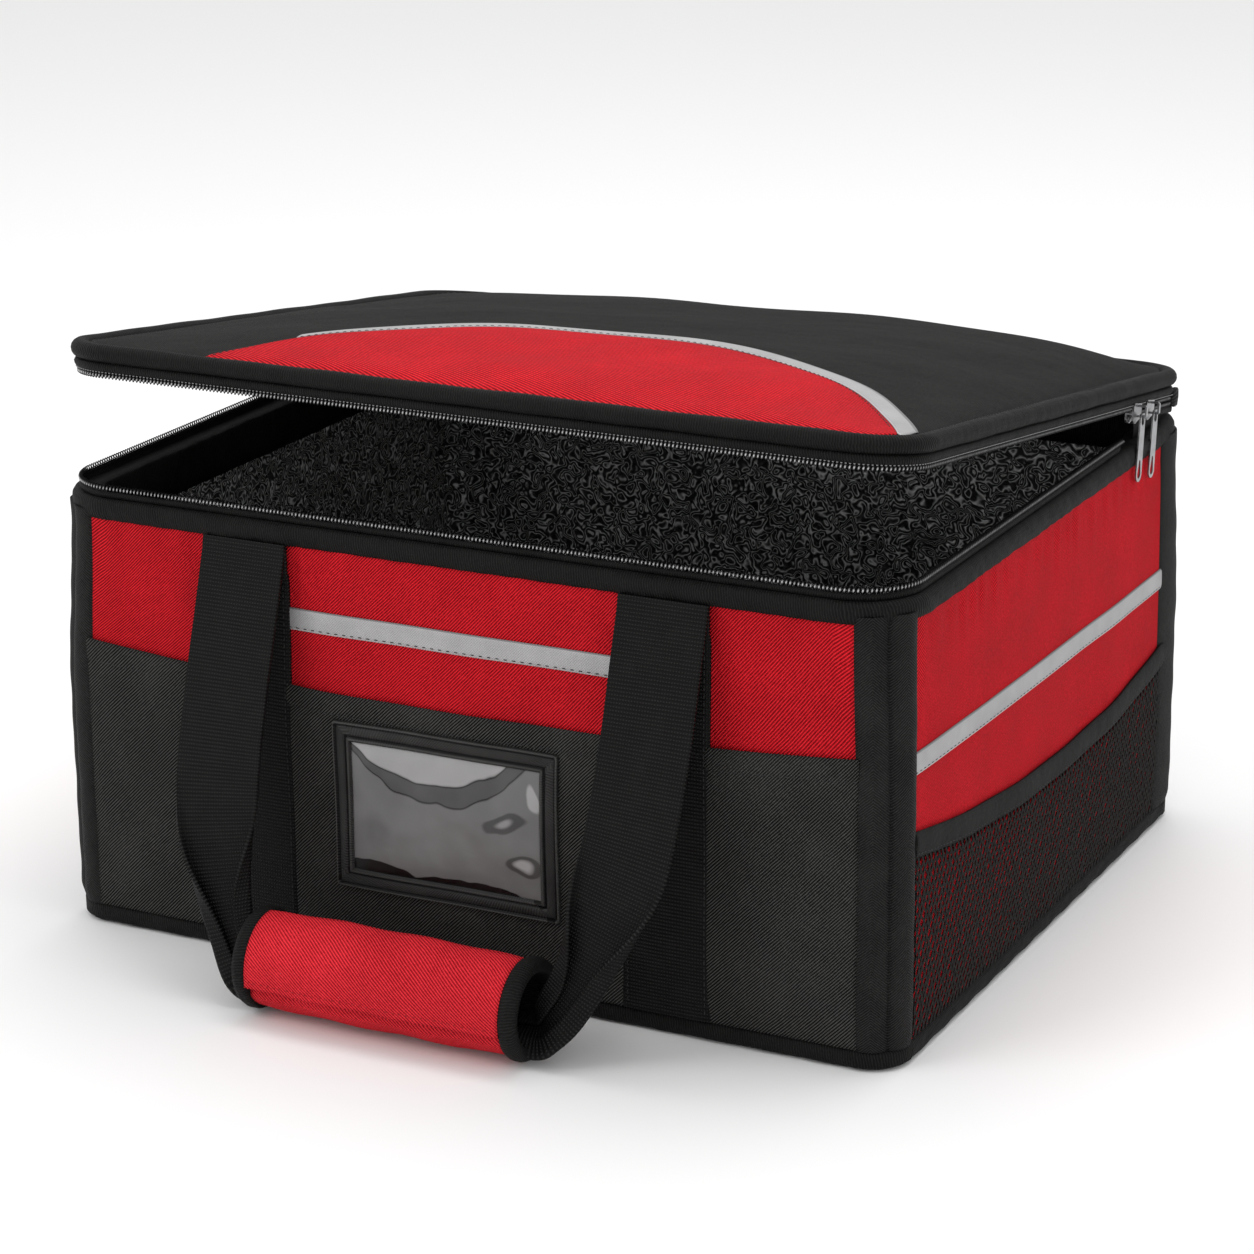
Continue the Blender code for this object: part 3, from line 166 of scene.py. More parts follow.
# Pockets, window and lower panels
POCKET_HEIGHT = 0.158
POCKET_RISE = 0.009
POCKET_LIFT = 0.0004
HEM_HEIGHT = 0.0115
SEAM_TUCK = 0.004
BAYS = (
    ("left", -UNDER_ROLL_X, -WEBBING_OUTER + SEAM_TUCK),
    ("middle", -WEBBING_INNER - SEAM_TUCK, WEBBING_INNER + SEAM_TUCK),
    ("right", WEBBING_OUTER - SEAM_TUCK, UNDER_ROLL_X),
)
WINDOW_CENTRE_X = -0.004
WINDOW_BOTTOM = 0.052
WINDOW_WIDTH = 0.134
WINDOW_HEIGHT = 0.093
WINDOW_BORDER = 0.0115
NET_PITCH = 0.0050
NET_ROWS = 24
NET_STRAND = 0.0013
NET_BAND_DEPTH = 0.014
NET_BAND_SEAM = 0.0118
NET_TUCK = 0.013
PANEL_LIFT = 0.0014
FRONT_STRIP_BOTTOM = 0.18998
SIDE_STRIP_BOTTOM = 0.1515
SIDE_STRIP_SLOPE = 0.0155

# Each side: direction along it, direction out of it, distance to it, half of its length
SIDES = {
    "front": ((1, 0, 0), (0, -1, 0), HALF_DEPTH, HALF_WIDTH),
    "right": ((0, 1, 0), (1, 0, 0), HALF_WIDTH, HALF_DEPTH),
    "rear": ((-1, 0, 0), (0, 1, 0), HALF_DEPTH, HALF_WIDTH),
    "left": ((0, -1, 0), (-1, 0, 0), HALF_WIDTH, HALF_DEPTH),
}
BELLY = {"front": 0.0016, "right": 0.0018, "rear": 0.0024, "left": 0.0014}
UP = np.array((0.0, 0.0, 1.0))
random = np.random.default_rng(11)
RIPPLE = {"front": 0.00028, "right": 0.00012, "rear": 0.00028, "left": 0.00024}
RIPPLES = {
    side: [
        (RIPPLE[side], random.uniform(4, 15), random.uniform(-12, 12), random.uniform(0, 6.28))
        for _ in range(6)
    ]
    for side in SIDES
}


# ---------------------------------------------------------------- materials


class Number:
    """A value that varies over a surface, with arithmetic that adds the nodes it needs."""

    def __init__(self, recipe, socket):
        self.recipe = recipe
        self.socket = socket

    def math(self, operation, *values):
        return self.recipe.node("ShaderNodeMath", {"operation": operation}, dict(enumerate(values)))

    def __add__(self, other):
        return self.math("ADD", self, other)

    __radd__ = __add__

    def __sub__(self, other):
        return self.math("SUBTRACT", self, other)

    def __rsub__(self, other):
        return self.math("SUBTRACT", other, self)

    def __mul__(self, other):
        return self.math("MULTIPLY", self, other)

    __rmul__ = __mul__

    def __truediv__(self, other):
        return self.math("DIVIDE", self, other)

    def __pow__(self, other):
        return self.math("POWER", self, other)

    def sin(self):
        return self.math("SINE", self)

    def size(self):
        return self.math("ABSOLUTE", self)

    def part(self):
        return self.math("FRACT", self)

    def above(self, edge, softness):
        """Return 0 below the edge and 1 above it, with a soft step between."""
        return self.recipe.node("ShaderNodeMapRange", {"interpolation_type": "SMOOTHSTEP"},
                                {0: self, 1: edge - softness, 2: edge + softness})


class Recipe:
    """The nodes of one finish."""

    def __init__(self, name, **shader):
        self.material = bpy.data.materials.new(name)
        self.material.use_nodes = True
        self.tree = self.material.node_tree
        self.shader = self.tree.nodes["Principled BSDF"]
        for socket, value in shader.items():
            self.set(self.shader, socket.replace("_", " "), value)

    def set(self, node, key, value):
        if isinstance(value, Number):
            self.tree.links.new(value.socket, node.inputs[key])
        else:
            node.inputs[key].default_value = value

    def node(self, kind, settings, inputs, output=0):
        """Add a node: its type, its settings, then the values or links of its sockets."""
        node = self.tree.nodes.new(kind)
        for key, value in settings.items():
            setattr(node, key, value)
        for key, value in inputs.items():
            self.set(node, key, value)
        return Number(self, node.outputs[output])

    def axes(self, place):
        """Return the first two coordinates of a place."""
        split = self.node("ShaderNodeSeparateXYZ", {}, {0: place})
        return split, Number(self, split.socket.node.outputs[1])

    def place(self):
        """Return the place on the piece, in metres."""
        return self.node("ShaderNodeTexCoord", {}, {}, output=3)

    def cloth(self):
        """Return the places along and across the cloth, in millimetres."""
        along, across = self.axes(self.node("ShaderNodeUVMap", {"uv_map": "Cloth"}, {}))
        return along * 1000.0, across * 1000.0

    def noise(self, size, detail=2.0, roughness=0.5, distortion=0.0):
        """Return noise with features of a size in metres, fixed to the piece."""
        return self.node(
            "ShaderNodeTexNoise", {},
            {"Vector": self.place(), "Scale": 1 / size, "Detail": detail, "Roughness": roughness,
             "Distortion": distortion},
        )

    def blend(self, share, low, high):
        """Return a colour between two others."""
        return self.node("ShaderNodeMix", {"data_type": "RGBA"}, {0: share, 6: low, 7: high}, output=2)

    def relief(self, height, depth, normal=None):
        """Return a normal that shows a height of 0 to 1 as relief of a depth in metres."""
        inputs = {"Height": height, "Distance": depth, "Strength": 1.0}
        if normal is not None:
            inputs["Normal"] = normal
        return self.node("ShaderNodeBump", {}, inputs)

    def oval(self, along, across, place, size, lean=0.0):
        """Return how far a place is from the middle of an oval, 1 on its edge."""
        cosine = math.cos(lean)
        sine = math.sin(lean)
        run = (along - place[0]) * (cosine / size[0]) + (across - place[1]) * (sine / size[0])
        rise = (across - place[1]) * (cosine / size[1]) - (along - place[0]) * (sine / size[1])
        return (run * run + rise * rise) ** 0.5

    def finish(self, colour, roughness=None, normal=None, alpha=None):
        for key, value in (("Base Color", colour), ("Roughness", roughness), ("Normal", normal),
                           ("Alpha", alpha)):
            if value is not None:
                self.set(self.shader, key, value)
        return self.material


def rgb(*levels):
    """Return a colour for the shader from one or three display values of 0 to 255."""
    if len(levels) == 1:
        levels = levels * 3
    linear = [((v / 255 + 0.055) / 1.055) ** 2.4 if v > 10 else v / 255 / 12.92 for v in levels]
    return (*linear, 1.0)


def stripes(position, pitch):
    """Return 0 to 1 waves along a position."""
    return (position * (2 * math.pi / pitch)).sin() * 0.5 + 0.5


def twill(name, dark, light, slope=1.0, sharpness=1.0, pitch=1.35):
    """Woven twill: fine slanted ribs, threads across them, and uneven dye and dust."""
    recipe = Recipe(name, Specular_IOR_Level=0.06)
    along, across = recipe.cloth()
    drift = recipe.noise(0.02) * 1.6
    rib = stripes(along - across * slope + drift, pitch * math.sqrt(1 + slope * slope))
    picks = stripes(along * slope + across, 1.5)
    weave = (rib * 0.65 + rib * picks * 0.35 + recipe.noise(0.0013, 1.0) * 0.5 - 0.25) ** sharpness
    patches = recipe.noise(0.035, 3.0)
    tone = weave + patches * 0.3 - 0.16
    crease = recipe.noise(0.045, 2.0, 0.6)
    normal = recipe.relief(weave, 0.0006, recipe.relief(crease, 0.006))
    return recipe.finish(recipe.blend(tone, dark, light), patches * 0.2 + 0.7, normal)


def ribbed_tape(name, dark, light, pitch=1.4, chevron=0.0):
    """Binding tape: fine ribs across it, or slanted both ways from its middle line."""
    recipe = Recipe(name, Specular_IOR_Level=0.12)
    along, across = recipe.cloth()
    lean = across.size() * chevron if chevron else across * 0.15
    rib = stripes(along + lean + recipe.noise(0.006) * 1.5, pitch)
    grain = recipe.noise(0.0014, 1.0)
    weave = (rib * 0.7 + grain * 0.6 - 0.15) ** 2.0
    patches = recipe.noise(0.02, 3.0)
    tone = weave * 0.9 + patches * 0.5 - 0.2
    normal = recipe.relief(weave, 0.0006, recipe.relief(recipe.noise(0.012, 3.0), 0.0022))
    return recipe.finish(recipe.blend(tone, dark, light), patches * 0.2 + 0.55, normal)


def webbing_weave(name):
    """Heavy webbing: ribs across it in a basket weave."""
    recipe = Recipe(name, Specular_IOR_Level=0.12)
    along, across = recipe.cloth()
    rib = stripes(across, 2.0)
    pick = stripes(along + (across * 0.5).part().above(0.5, 0.02) * 0.8, 1.6)
    weave = (rib * (pick * 0.75 + 0.25)) ** 1.5
    worn = recipe.noise(0.012, 4.0)
    tone = weave * 1.1 + worn * 0.4 - 0.2
    colour = recipe.blend(tone, rgb(3), rgb(43, 43, 42))
    return recipe.finish(colour, worn * 0.2 + 0.5, recipe.relief(weave, 0.0008))


def reflective_cloth(name):
    """Reflective tape: silver with a fine slanted hatch, a pale lower edge and a dark upper one."""
    recipe = Recipe(name, Metallic=0.2, Specular_IOR_Level=0.3)
    along, across = recipe.cloth()
    hatch = stripes(along - across, 1.5) * 0.6 + stripes(along + across, 1.5) * 0.4
    patches = recipe.noise(0.018, 3.0)
    pale = 1.0 - (across - 0.4).size().above(0.4, 0.2)
    dark = (across - 11.3).above(0.0, 0.2)
    tone = hatch * 0.4 + patches * 0.5 + pale * 0.6 - dark * 0.8
    normal = recipe.relief(hatch, 0.0001, recipe.relief(patches, 0.0010))
    colour = recipe.blend(tone, rgb(120, 119, 120), rgb(190, 189, 190))
    return recipe.finish(colour, patches * 0.25 + 0.4, normal)


def embossed_foil(name):
    """Lining film: glossy black with an embossed swirl, with white painted on some of its ridges as their
    highlights.
    """
    recipe = Recipe(name, Specular_IOR_Level=0.7)
    swirl = recipe.noise(0.0078, 0.6, 0.5, 0.5)
    worm = stripes(swirl, 0.11) ** 3.2
    fine = recipe.noise(0.003, 2.0)
    # Painted highlight: white painted on the swirl's ridges in broken stretches, standing for the glossy
    # film's highlights.
    glint = worm * recipe.noise(0.006, 1.0).above(0.25, 0.08)
    normal = recipe.relief(worm * 0.85 + fine * 0.15, 0.0010)
    return recipe.finish(recipe.blend(glint, rgb(34), rgb(254)), fine * 0.15 + 0.2, normal)


def coil_nylon(name):
    """Zip coil: black nylon with a painted highlight on the outermost part of each turn, painted brighter
    along the front.
    """
    recipe = Recipe(name, Specular_IOR_Level=0.12)
    _, turns = recipe.cloth()
    worn = recipe.noise(0.004, 2.0)
    _, rearward = recipe.axes(recipe.place())
    # Painted light: the coil's painted highlights are kept full along the front, where y is under -0.19, and
    # dimmed to about a third elsewhere.
    rubbed_wear_and_front_light = (rearward * -1.0).above(0.19, 0.02) * 0.65 + 0.35
    # Painted highlight: a thin bright band on the outermost part of each turn, varied by the wear noise.
    painted_turn_glints = stripes(turns + 0.25, 1.0) ** 20.0 * (worn + 0.3) * rubbed_wear_and_front_light
    colour = recipe.blend(painted_turn_glints, rgb(8), rgb(205))
    return recipe.finish(colour, worn * 0.15 + 0.35, recipe.relief(worn, 0.00005))


def cast_metal(name):
    """Plated slider metal: bright, with a fine blasted grain and worn patches."""
    recipe = Recipe(name, Metallic=1.0)
    grain = recipe.noise(0.0007, 3.0)
    rubbed_wear_and_front_light = recipe.noise(0.006, 3.0)
    colour = recipe.blend(rubbed_wear_and_front_light, rgb(84, 84, 86), rgb(182, 182, 184))
    return recipe.finish(colour, rubbed_wear_and_front_light * 0.3 + grain * 0.1 + 0.12, recipe.relief(grain, 0.00006))


def smooth_vinyl(name):
    """Window border: hatched black vinyl, painted lighter along the ridge near both of its edges and darker
    in the dips beside them, as painted highlight and painted shade.
    """
    recipe = Recipe(name, Specular_IOR_Level=0.2)
    along, inset = recipe.cloth()
    hatch = stripes(along - inset, 1.7)
    patches = recipe.noise(0.02, 3.0)
    # Painted light: a painted highlight along the two ridges of the border's shape, and painted shade in the
    # dips beside them.
    lines = 2.0 - (inset - 0.7).size().above(0.45, 0.15) - (inset - 9.4).size().above(0.5, 0.2)
    painted_groove_shade = 2.0 - (inset - 1.9).size().above(0.6, 0.2) - (inset - 7.9).size().above(0.5, 0.2)
    normal = recipe.relief(hatch, 0.00025, recipe.relief(patches, 0.0006))
    tone = hatch * 0.25 + patches * 0.5 + lines * 0.4 - painted_groove_shade * 0.7
    return recipe.finish(recipe.blend(tone, rgb(4), rgb(66, 66, 65)), patches * 0.2 + 0.4, normal)


def window_film(name):
    """Window film: clear, clouded vinyl whose folds are painted on as reflections: a painted light patch and
    a painted dark crescent sagging from its top corners, painted highlights and shade near its ends, and
    painted dark reflections along its foot.
    """
    recipe = Recipe(name, Specular_IOR_Level=0.5, IOR=1.45)
    flat_along, flat_across = recipe.cloth()
    waver = recipe.noise(0.016, 0.5)
    along = flat_along + waver * 8.0 - 4.0
    across = flat_across + recipe.noise(0.012, 0.5) * 6.0 - 3.0
    lens = across - ((along - 46.0) / 46.0) ** 2.0 * 16.0 - 55.0
    sag = across - ((along - 50.0) / 54.0) ** 2.0 * 27.0 - 44.0
    # Painted reflections of the folds: a painted light patch above the lens curve, a painted dark crescent
    # between it and the sag curve, and painted shade along both curves.
    painted_lens_highlight = lens.above(0.0, 0.5)
    painted_crescent_shade = sag.above(0.0, 0.6) * (1.0 - painted_lens_highlight)
    painted_fold_shade_lines = 2.0 - lens.size().above(0.7, 0.5) - sag.size().above(0.6, 0.5)
    # Ovals that place painted dark patches with painted highlights near the right end, a painted shade patch
    # at the left, and painted dark reflections along the foot.
    leaf = recipe.oval(along, across, (93.0, 41.0), (13.0, 4.6), 0.3)
    painted_reflection_ring = recipe.oval(along, across, (103.0, 18.0), (10.0, 5.0), 0.1)
    streak = recipe.oval(along, across, (109.0, 57.0), (3.0, 7.0), 0.3)
    painted_shade_patch = recipe.oval(along, across, (15.0, 24.0), (8.0, 9.0), 0.5)
    foot = recipe.oval(along, across, (18.0, -1.0), (24.0, 8.0), -0.1)
    foot_right = recipe.oval(along, across, (66.0, -1.0), (34.0, 4.5), 0.0)
    painted_dark_spots = 1.0 - leaf.above(1.0, 0.12) + (1.0 - (painted_reflection_ring - 0.85).size().above(0.2, 0.1))
    glints = 2.0 - leaf.above(0.35, 0.2) - painted_reflection_ring.above(0.5, 0.2) + (1.0 - streak.above(1.0, 0.2))
    dark = 2.0 - foot.above(1.0, 0.06) - foot_right.above(1.0, 0.08)
    cloud = recipe.noise(0.025, 2.0)
    # The film's tone: random clouding plus the painted reflections, highlights and shade above.
    tone = (cloud * 0.10 + 0.17 + painted_lens_highlight * 0.30 - painted_crescent_shade * 0.12 - painted_fold_shade_lines * 0.12 - painted_dark_spots * 0.14
            + glints * 0.30 - (1.0 - painted_shade_patch.above(1.0, 0.5)) * 0.05 - dark * 0.4)
    scuff = recipe.noise(0.005, 4.0)
    normal = recipe.relief(waver, 0.0012, recipe.relief(scuff, 0.0002))
    colour = recipe.blend(tone, rgb(8), rgb(205))
    return recipe.finish(colour, scuff * 0.2 + 0.3, normal, cloud * 0.1 + 0.85)


def thread(name, dark, light):
    """Sewing thread or cord, unevenly worn."""
    recipe = Recipe(name, Specular_IOR_Level=0.2)
    twist = recipe.noise(0.0012, 2.0)
    return recipe.finish(recipe.blend(twist, dark, light), twist * 0.2 + 0.5,
                         recipe.relief(twist, 0.0001))


FINISHES = {
    "red_twill": twill("red_twill_cloth", rgb(110, 4, 11), rgb(244, 40, 52)),
    # The lid's and the grip's red twill are painted lighter than the walls' red twill, as painted light from
    # above on them; the lid's weave also slants the other way.
    "lid_twill_painted_lighter": twill("red_lid_twill_painted_lighter_cloth", rgb(118, 7, 14), rgb(248, 46, 58), -2.2, pitch=1.8),
    "grip_twill_painted_lighter": twill("red_grip_twill_painted_lighter_cloth", rgb(142, 11, 20), rgb(255, 60, 72), 0.8, pitch=1.45),
    "black_twill": twill("charcoal_twill_cloth", rgb(7), rgb(77, 77, 76), 1.0, 2.0),
    "pocket_twill": twill("charcoal_pocket_cloth", rgb(8), rgb(92, 92, 90), 1.0, 1.6),
    "black_binding": ribbed_tape("black_ribbed_tape", rgb(3), rgb(35, 35, 34)),
    "corner_binding": ribbed_tape("black_corner_tape", rgb(4), rgb(54, 54, 53), 1.5, 1.0),
    "black_webbing": webbing_weave("black_webbing_weave"),
    "black_mesh": thread("black_mesh_cord", rgb(2), rgb(50, 49, 48)),
    "liner_foil": embossed_foil("embossed_lining_film"),
    "reflective_tape": reflective_cloth("silver_reflective_tape"),
    "vinyl": smooth_vinyl("black_vinyl_border"),
    "clear_film": window_film("clear_window_film"),
    "zip_coil": coil_nylon("nylon_zip_coil"),
    "slider_metal": cast_metal("plated_slider_metal"),
    "dark_thread": thread("dark_sewing_thread", rgb(16), rgb(56)),
    "red_thread": thread("red_sewing_thread", rgb(110, 8, 14), rgb(200, 32, 42)),
    "grey_thread": thread("grey_sewing_thread", rgb(110), rgb(150)),
}


# ---------------------------------------------------------------- mesh helpers


def smoothstep(value):
    value = np.clip(value, 0.0, 1.0)
    return value * value * (3 - 2 * value)


def at_height(places, height):
    """Return level places as points at a height."""
    return np.column_stack((places, np.broadcast_to(height, len(places))))


def units(vectors):
    """Return vectors at a length of 1."""
    return vectors / np.linalg.norm(vectors, axis=-1, keepdims=True)


def run_lengths(line):
    """Return the distance along a line to each of its points."""
    return np.concatenate(([0.0], np.cumsum(np.linalg.norm(np.diff(line, axis=0), axis=1))))


def points_at(stations, lengths, line):
    """Return the points at distances along a line."""
    return np.column_stack([np.interp(stations, lengths, values) for values in line.T])


def new_mesh(name, points, faces, smooth=True):
    """Return a mesh with a layer for its UVs."""
    mesh = bpy.data.meshes.new(name)
    mesh.from_pydata(np.asarray(points).reshape(-1, 3).tolist(), [], faces)
    mesh.uv_layers.new(name="Cloth")
    mesh.polygons.foreach_set("use_smooth", [smooth] * len(mesh.polygons))
    return mesh


def grid_mesh(name, grid, wrap=False, wrap_rows=False, caps=False, spread=None):
    """Return a mesh through rows of points, its UVs in metres along the cloth.

    Columns run along the cloth and rows up it, so that the outside faces along x up.
    """
    grid = np.asarray(grid, float)
    rows, columns = grid.shape[:2]
    i, j = np.indices((rows if wrap_rows else rows - 1, columns if wrap else columns - 1))
    i = i.ravel()
    j = j.ravel()
    corners = ((i, j), (i, j + 1), (i + 1, j + 1), (i + 1, j))
    faces = np.stack([(a % rows) * columns + b % columns for a, b in corners], axis=1).tolist()
    if spread is None:
        steps = np.linalg.norm(np.roll(grid, -1, axis=1) - grid, axis=2).mean(axis=0)
        rises = np.linalg.norm(np.roll(grid, -1, axis=0) - grid, axis=2).mean(axis=1)
        along = np.concatenate(([0.0], np.cumsum(steps)))
        up = np.concatenate(([0.0], np.cumsum(rises)))
        uv = [np.stack((along[b], up[a]), axis=1) for a, b in corners]
    else:
        uv = [spread[a % rows, b % columns] for a, b in corners]
    uv = np.stack(uv, axis=1).reshape(-1, 2)
    if caps:
        faces.append(list(range(columns))[::-1])
        faces.append(list(range((rows - 1) * columns, rows * columns)))
        uv = np.concatenate((uv, np.zeros((2 * columns, 2))))
    mesh = new_mesh(name, grid, faces)
    mesh.uv_layers["Cloth"].data.foreach_set("uv", uv.ravel())
    mesh.update()
    return mesh


def stitch_mesh(name, lines, length=0.0024, gap=0.0016, width=0.0006, height=0.0004):
    """Return a mesh of sewn stitches along lines, each a pair of places and outward directions."""
    shape = np.array([
        (-1.0, 0.0, -0.5), (-0.55, 1.0, 0.2), (-0.55, 0.0, 1.0), (-0.55, -1.0, 0.2),
        (0.55, 1.0, 0.2), (0.55, 0.0, 1.0), (0.55, -1.0, 0.2), (1.0, 0.0, -0.5),
    ])
    shape = shape * (length / 2, width / 2, height)
    shape_faces = ((1, 2, 5, 4), (2, 3, 6, 5), (0, 2, 1), (0, 3, 2), (7, 4, 5), (7, 5, 6))
    stitches = []
    for line, outs in lines:
        spans = run_lengths(line)
        middles = np.arange(length, spans[-1] - length / 2, length + gap)
        places = points_at(middles, spans, line)
        out = points_at(middles, spans, np.broadcast_to(np.asarray(outs, float), line.shape))
        ahead = units(points_at(middles + length / 4, spans, line) - places)
        side = np.cross(out, ahead)
        stitches.append(places[:, None] + shape[:, :1] * ahead[:, None]
                        + shape[:, 1:2] * side[:, None] + shape[:, 2:] * out[:, None])
    points = np.concatenate(stitches)
    faces = [[base * len(shape) + corner for corner in face]
             for base in range(len(points)) for face in shape_faces]
    return new_mesh(name, points, faces)


def on_lid(points):
    """Turn points from the lid's shut place to the angle that it rests at."""
    points = np.array(points, float)
    y = points[..., 1] - HINGE_Y
    z = points[..., 2] - HINGE_Z
    cosine = math.cos(LID_OPEN_ANGLE)
    sine = math.sin(LID_OPEN_ANGLE)
    points[..., 1] = HINGE_Y + y * cosine + z * sine
    points[..., 2] = HINGE_Z - y * sine + z * cosine
    return points


def put(name, data):
    """Put an object in the scene."""
    thing = bpy.data.objects.new(name, data)
    bpy.context.scene.collection.objects.link(thing)
    return thing


def dress(name, mesh, finish, body, stands_for=(), thickness=0.0, offset=-1.0):
    """Put a mesh in the scene with its finish, on its body, in place of its CAD nodes."""
    piece = put(name, mesh)
    mesh.materials.append(FINISHES[finish])
    if thickness:
        shell = piece.modifiers.new("thickness", "SOLIDIFY")
        shell.thickness = thickness
        shell.offset = offset
    if stands_for:
        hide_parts(*stands_for)
    if body:
        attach(piece, body)
    return piece


def sew(name, grid, finish, body, stands_for=(), thickness=0.0, offset=-1.0, **shape):
    """Put rows of points in the scene as a piece; the lid's are turned to its rest angle."""
    if body == "lid":
        grid = on_lid(grid)
    return dress(name, grid_mesh(name, grid, **shape), finish, body, stands_for, thickness, offset)


def stitch(name, lines, finish, body, *sizes):
    """Put stitches in the scene along lines."""
    if body == "lid":
        lines = [(on_lid(line), outs) for line, outs in lines]
    dress(name, stitch_mesh(name, lines, *sizes), finish, body)


def slack(side, across, height):
    """Return how far the cloth of a side stands out of its flat place."""
    half = SIDES[side][3] - CORNER_RADIUS
    held = np.clip(1 - (np.abs(across) / half) ** 4, 0, 1)
    rise = np.sin(math.pi * np.clip(height / BAND_BOTTOM, 0, 1))
    waves = sum(
        size * np.sin(2 * math.pi * (along * across + upward * height) + phase)
        for size, along, upward, phase in RIPPLES[side]
    )
    below = np.clip(BAND_BOTTOM - height, 0, 1)
    gathers = np.sin(across * 610 + 2.4 * np.sin(across * 71)) * (0.6 + 0.4 * np.sin(across * 43))
    folds = 0.0011 * np.exp(-below / 0.013) * gathers
    return held * (BELLY[side] * rise ** 0.7 + waves * rise ** 0.4 + folds * np.clip(rise * 6, 0, 1))


def skin(side, across, height, lift):
    """Return places on a side's cloth, lifted off it."""
    across, height, lift = np.broadcast_arrays(across, height, lift)
    along, out, reach, _ = SIDES[side]
    depth = reach + slack(side, across, height) + lift
    return across[..., None] * np.array(along) + depth[..., None] * np.array(out) + height[..., None] * UP


def ring(inset, radius=RIM_RADIUS):
    """Return places, outward directions, sides and distances along them round the bag."""
    turn = radius - inset
    places = []
    outs = []
    sides = []
    acrosses = []
    for side, start in (("rear", 90), ("left", 180), ("front", 270), ("right", 0)):
        along, out = np.array(SIDES[side][:2], float)[:, :2]
        reach = SIDES[side][2] - inset
        half = SIDES[side][3] - inset - turn
        steps = int(2 * SIDES[side][3] / RING_SPACING)
        across = -half + 2 * half * np.arange(steps) / steps
        angles = np.radians(start + 90 * np.arange(CORNER_STEPS) / CORNER_STEPS)
        directions = np.column_stack((np.cos(angles), np.sin(angles)))
        places += [across[:, None] * along + reach * out,
                   half * along + (reach - turn) * out + turn * directions]
        outs += [np.tile(out, (steps, 1)), directions]
        sides += [side] * steps + ["corner"] * CORNER_STEPS
        acrosses += [across, np.zeros(CORNER_STEPS)]
    return np.concatenate(places), np.concatenate(outs), np.array(sides), np.concatenate(acrosses)


def ring_rows(profile, radius=RIM_RADIUS, swell=None):
    """Return rows of points round the bag for each inset and height of a profile."""
    rows = []
    for inset, height in profile:
        places, outs, sides, across = ring(inset, radius)
        if swell:
            places = places + outs * swell(sides, across, height)[:, None]
        rows.append(at_height(places, height))
    return np.array(rows)


def rim_line(inset, left_end, right_end, spacing):
    """Return an even line from the left side, round the front, to the right side."""
    half_x = HALF_WIDTH - inset
    half_y = HALF_DEPTH - inset
    turn = RIM_RADIUS - inset
    points = [(-half_x, left_end)]
    for centre_x, start in ((-half_x + turn, 180), (half_x - turn, 270)):
        for angle in np.radians(start + 90 * np.arange(25) / 24):
            points.append((centre_x + turn * math.cos(angle), -half_y + turn + turn * math.sin(angle)))
    points = np.array(points + [(half_x, right_end)])
    lengths = run_lengths(points)
    stations = np.linspace(0, lengths[-1], int(lengths[-1] / spacing) + 1)
    places = points_at(stations, lengths, points)
    ahead = units(np.gradient(places, axis=0))
    return places, np.column_stack((ahead[:, 1], -ahead[:, 0])), stations


# ---------------------------------------------------------------- shell of the bag


def corner_radius(height):
    """Return the walls' corner radius, which opens out to the rim's near the top."""
    return CORNER_RADIUS + (RIM_RADIUS - CORNER_RADIUS) * smoothstep((height - 0.130) / 0.106)


def walls():
    """Outer shell: one padded, sagging ring of red cloth round the bag."""
    def swell(sides, across, height):
        lift = np.zeros(len(across))
        for side in SIDES:
            mask = sides == side
            pucker = np.sin(across[mask] * 360 + 2.0 * np.sin(across[mask] * 53))
            lift[mask] = slack(side, across[mask], height)
            lift[mask] += 0.0006 * pucker * math.exp(-abs(height - 0.226) / 0.010)
        return lift

    heights = np.concatenate((np.linspace(WALL_BOTTOM, 0.200, 46), np.linspace(0.2025, WALL_TOP, 18)))
    rows = [ring_rows([(GAP / 3, height)], corner_radius(height), swell) for height in heights]
    inner = [(WALL_THICKNESS, WALL_TOP), (WALL_THICKNESS, WALL_BOTTOM)]
    rows.append(ring_rows(inner, CORNER_RADIUS + 0.002))
    shell = sew("bag_shell", np.concatenate(rows), "red_twill", "bag",
                ("front_wall", "rear_wall", "left_wall", "right_wall"), wrap=True, wrap_rows=True)


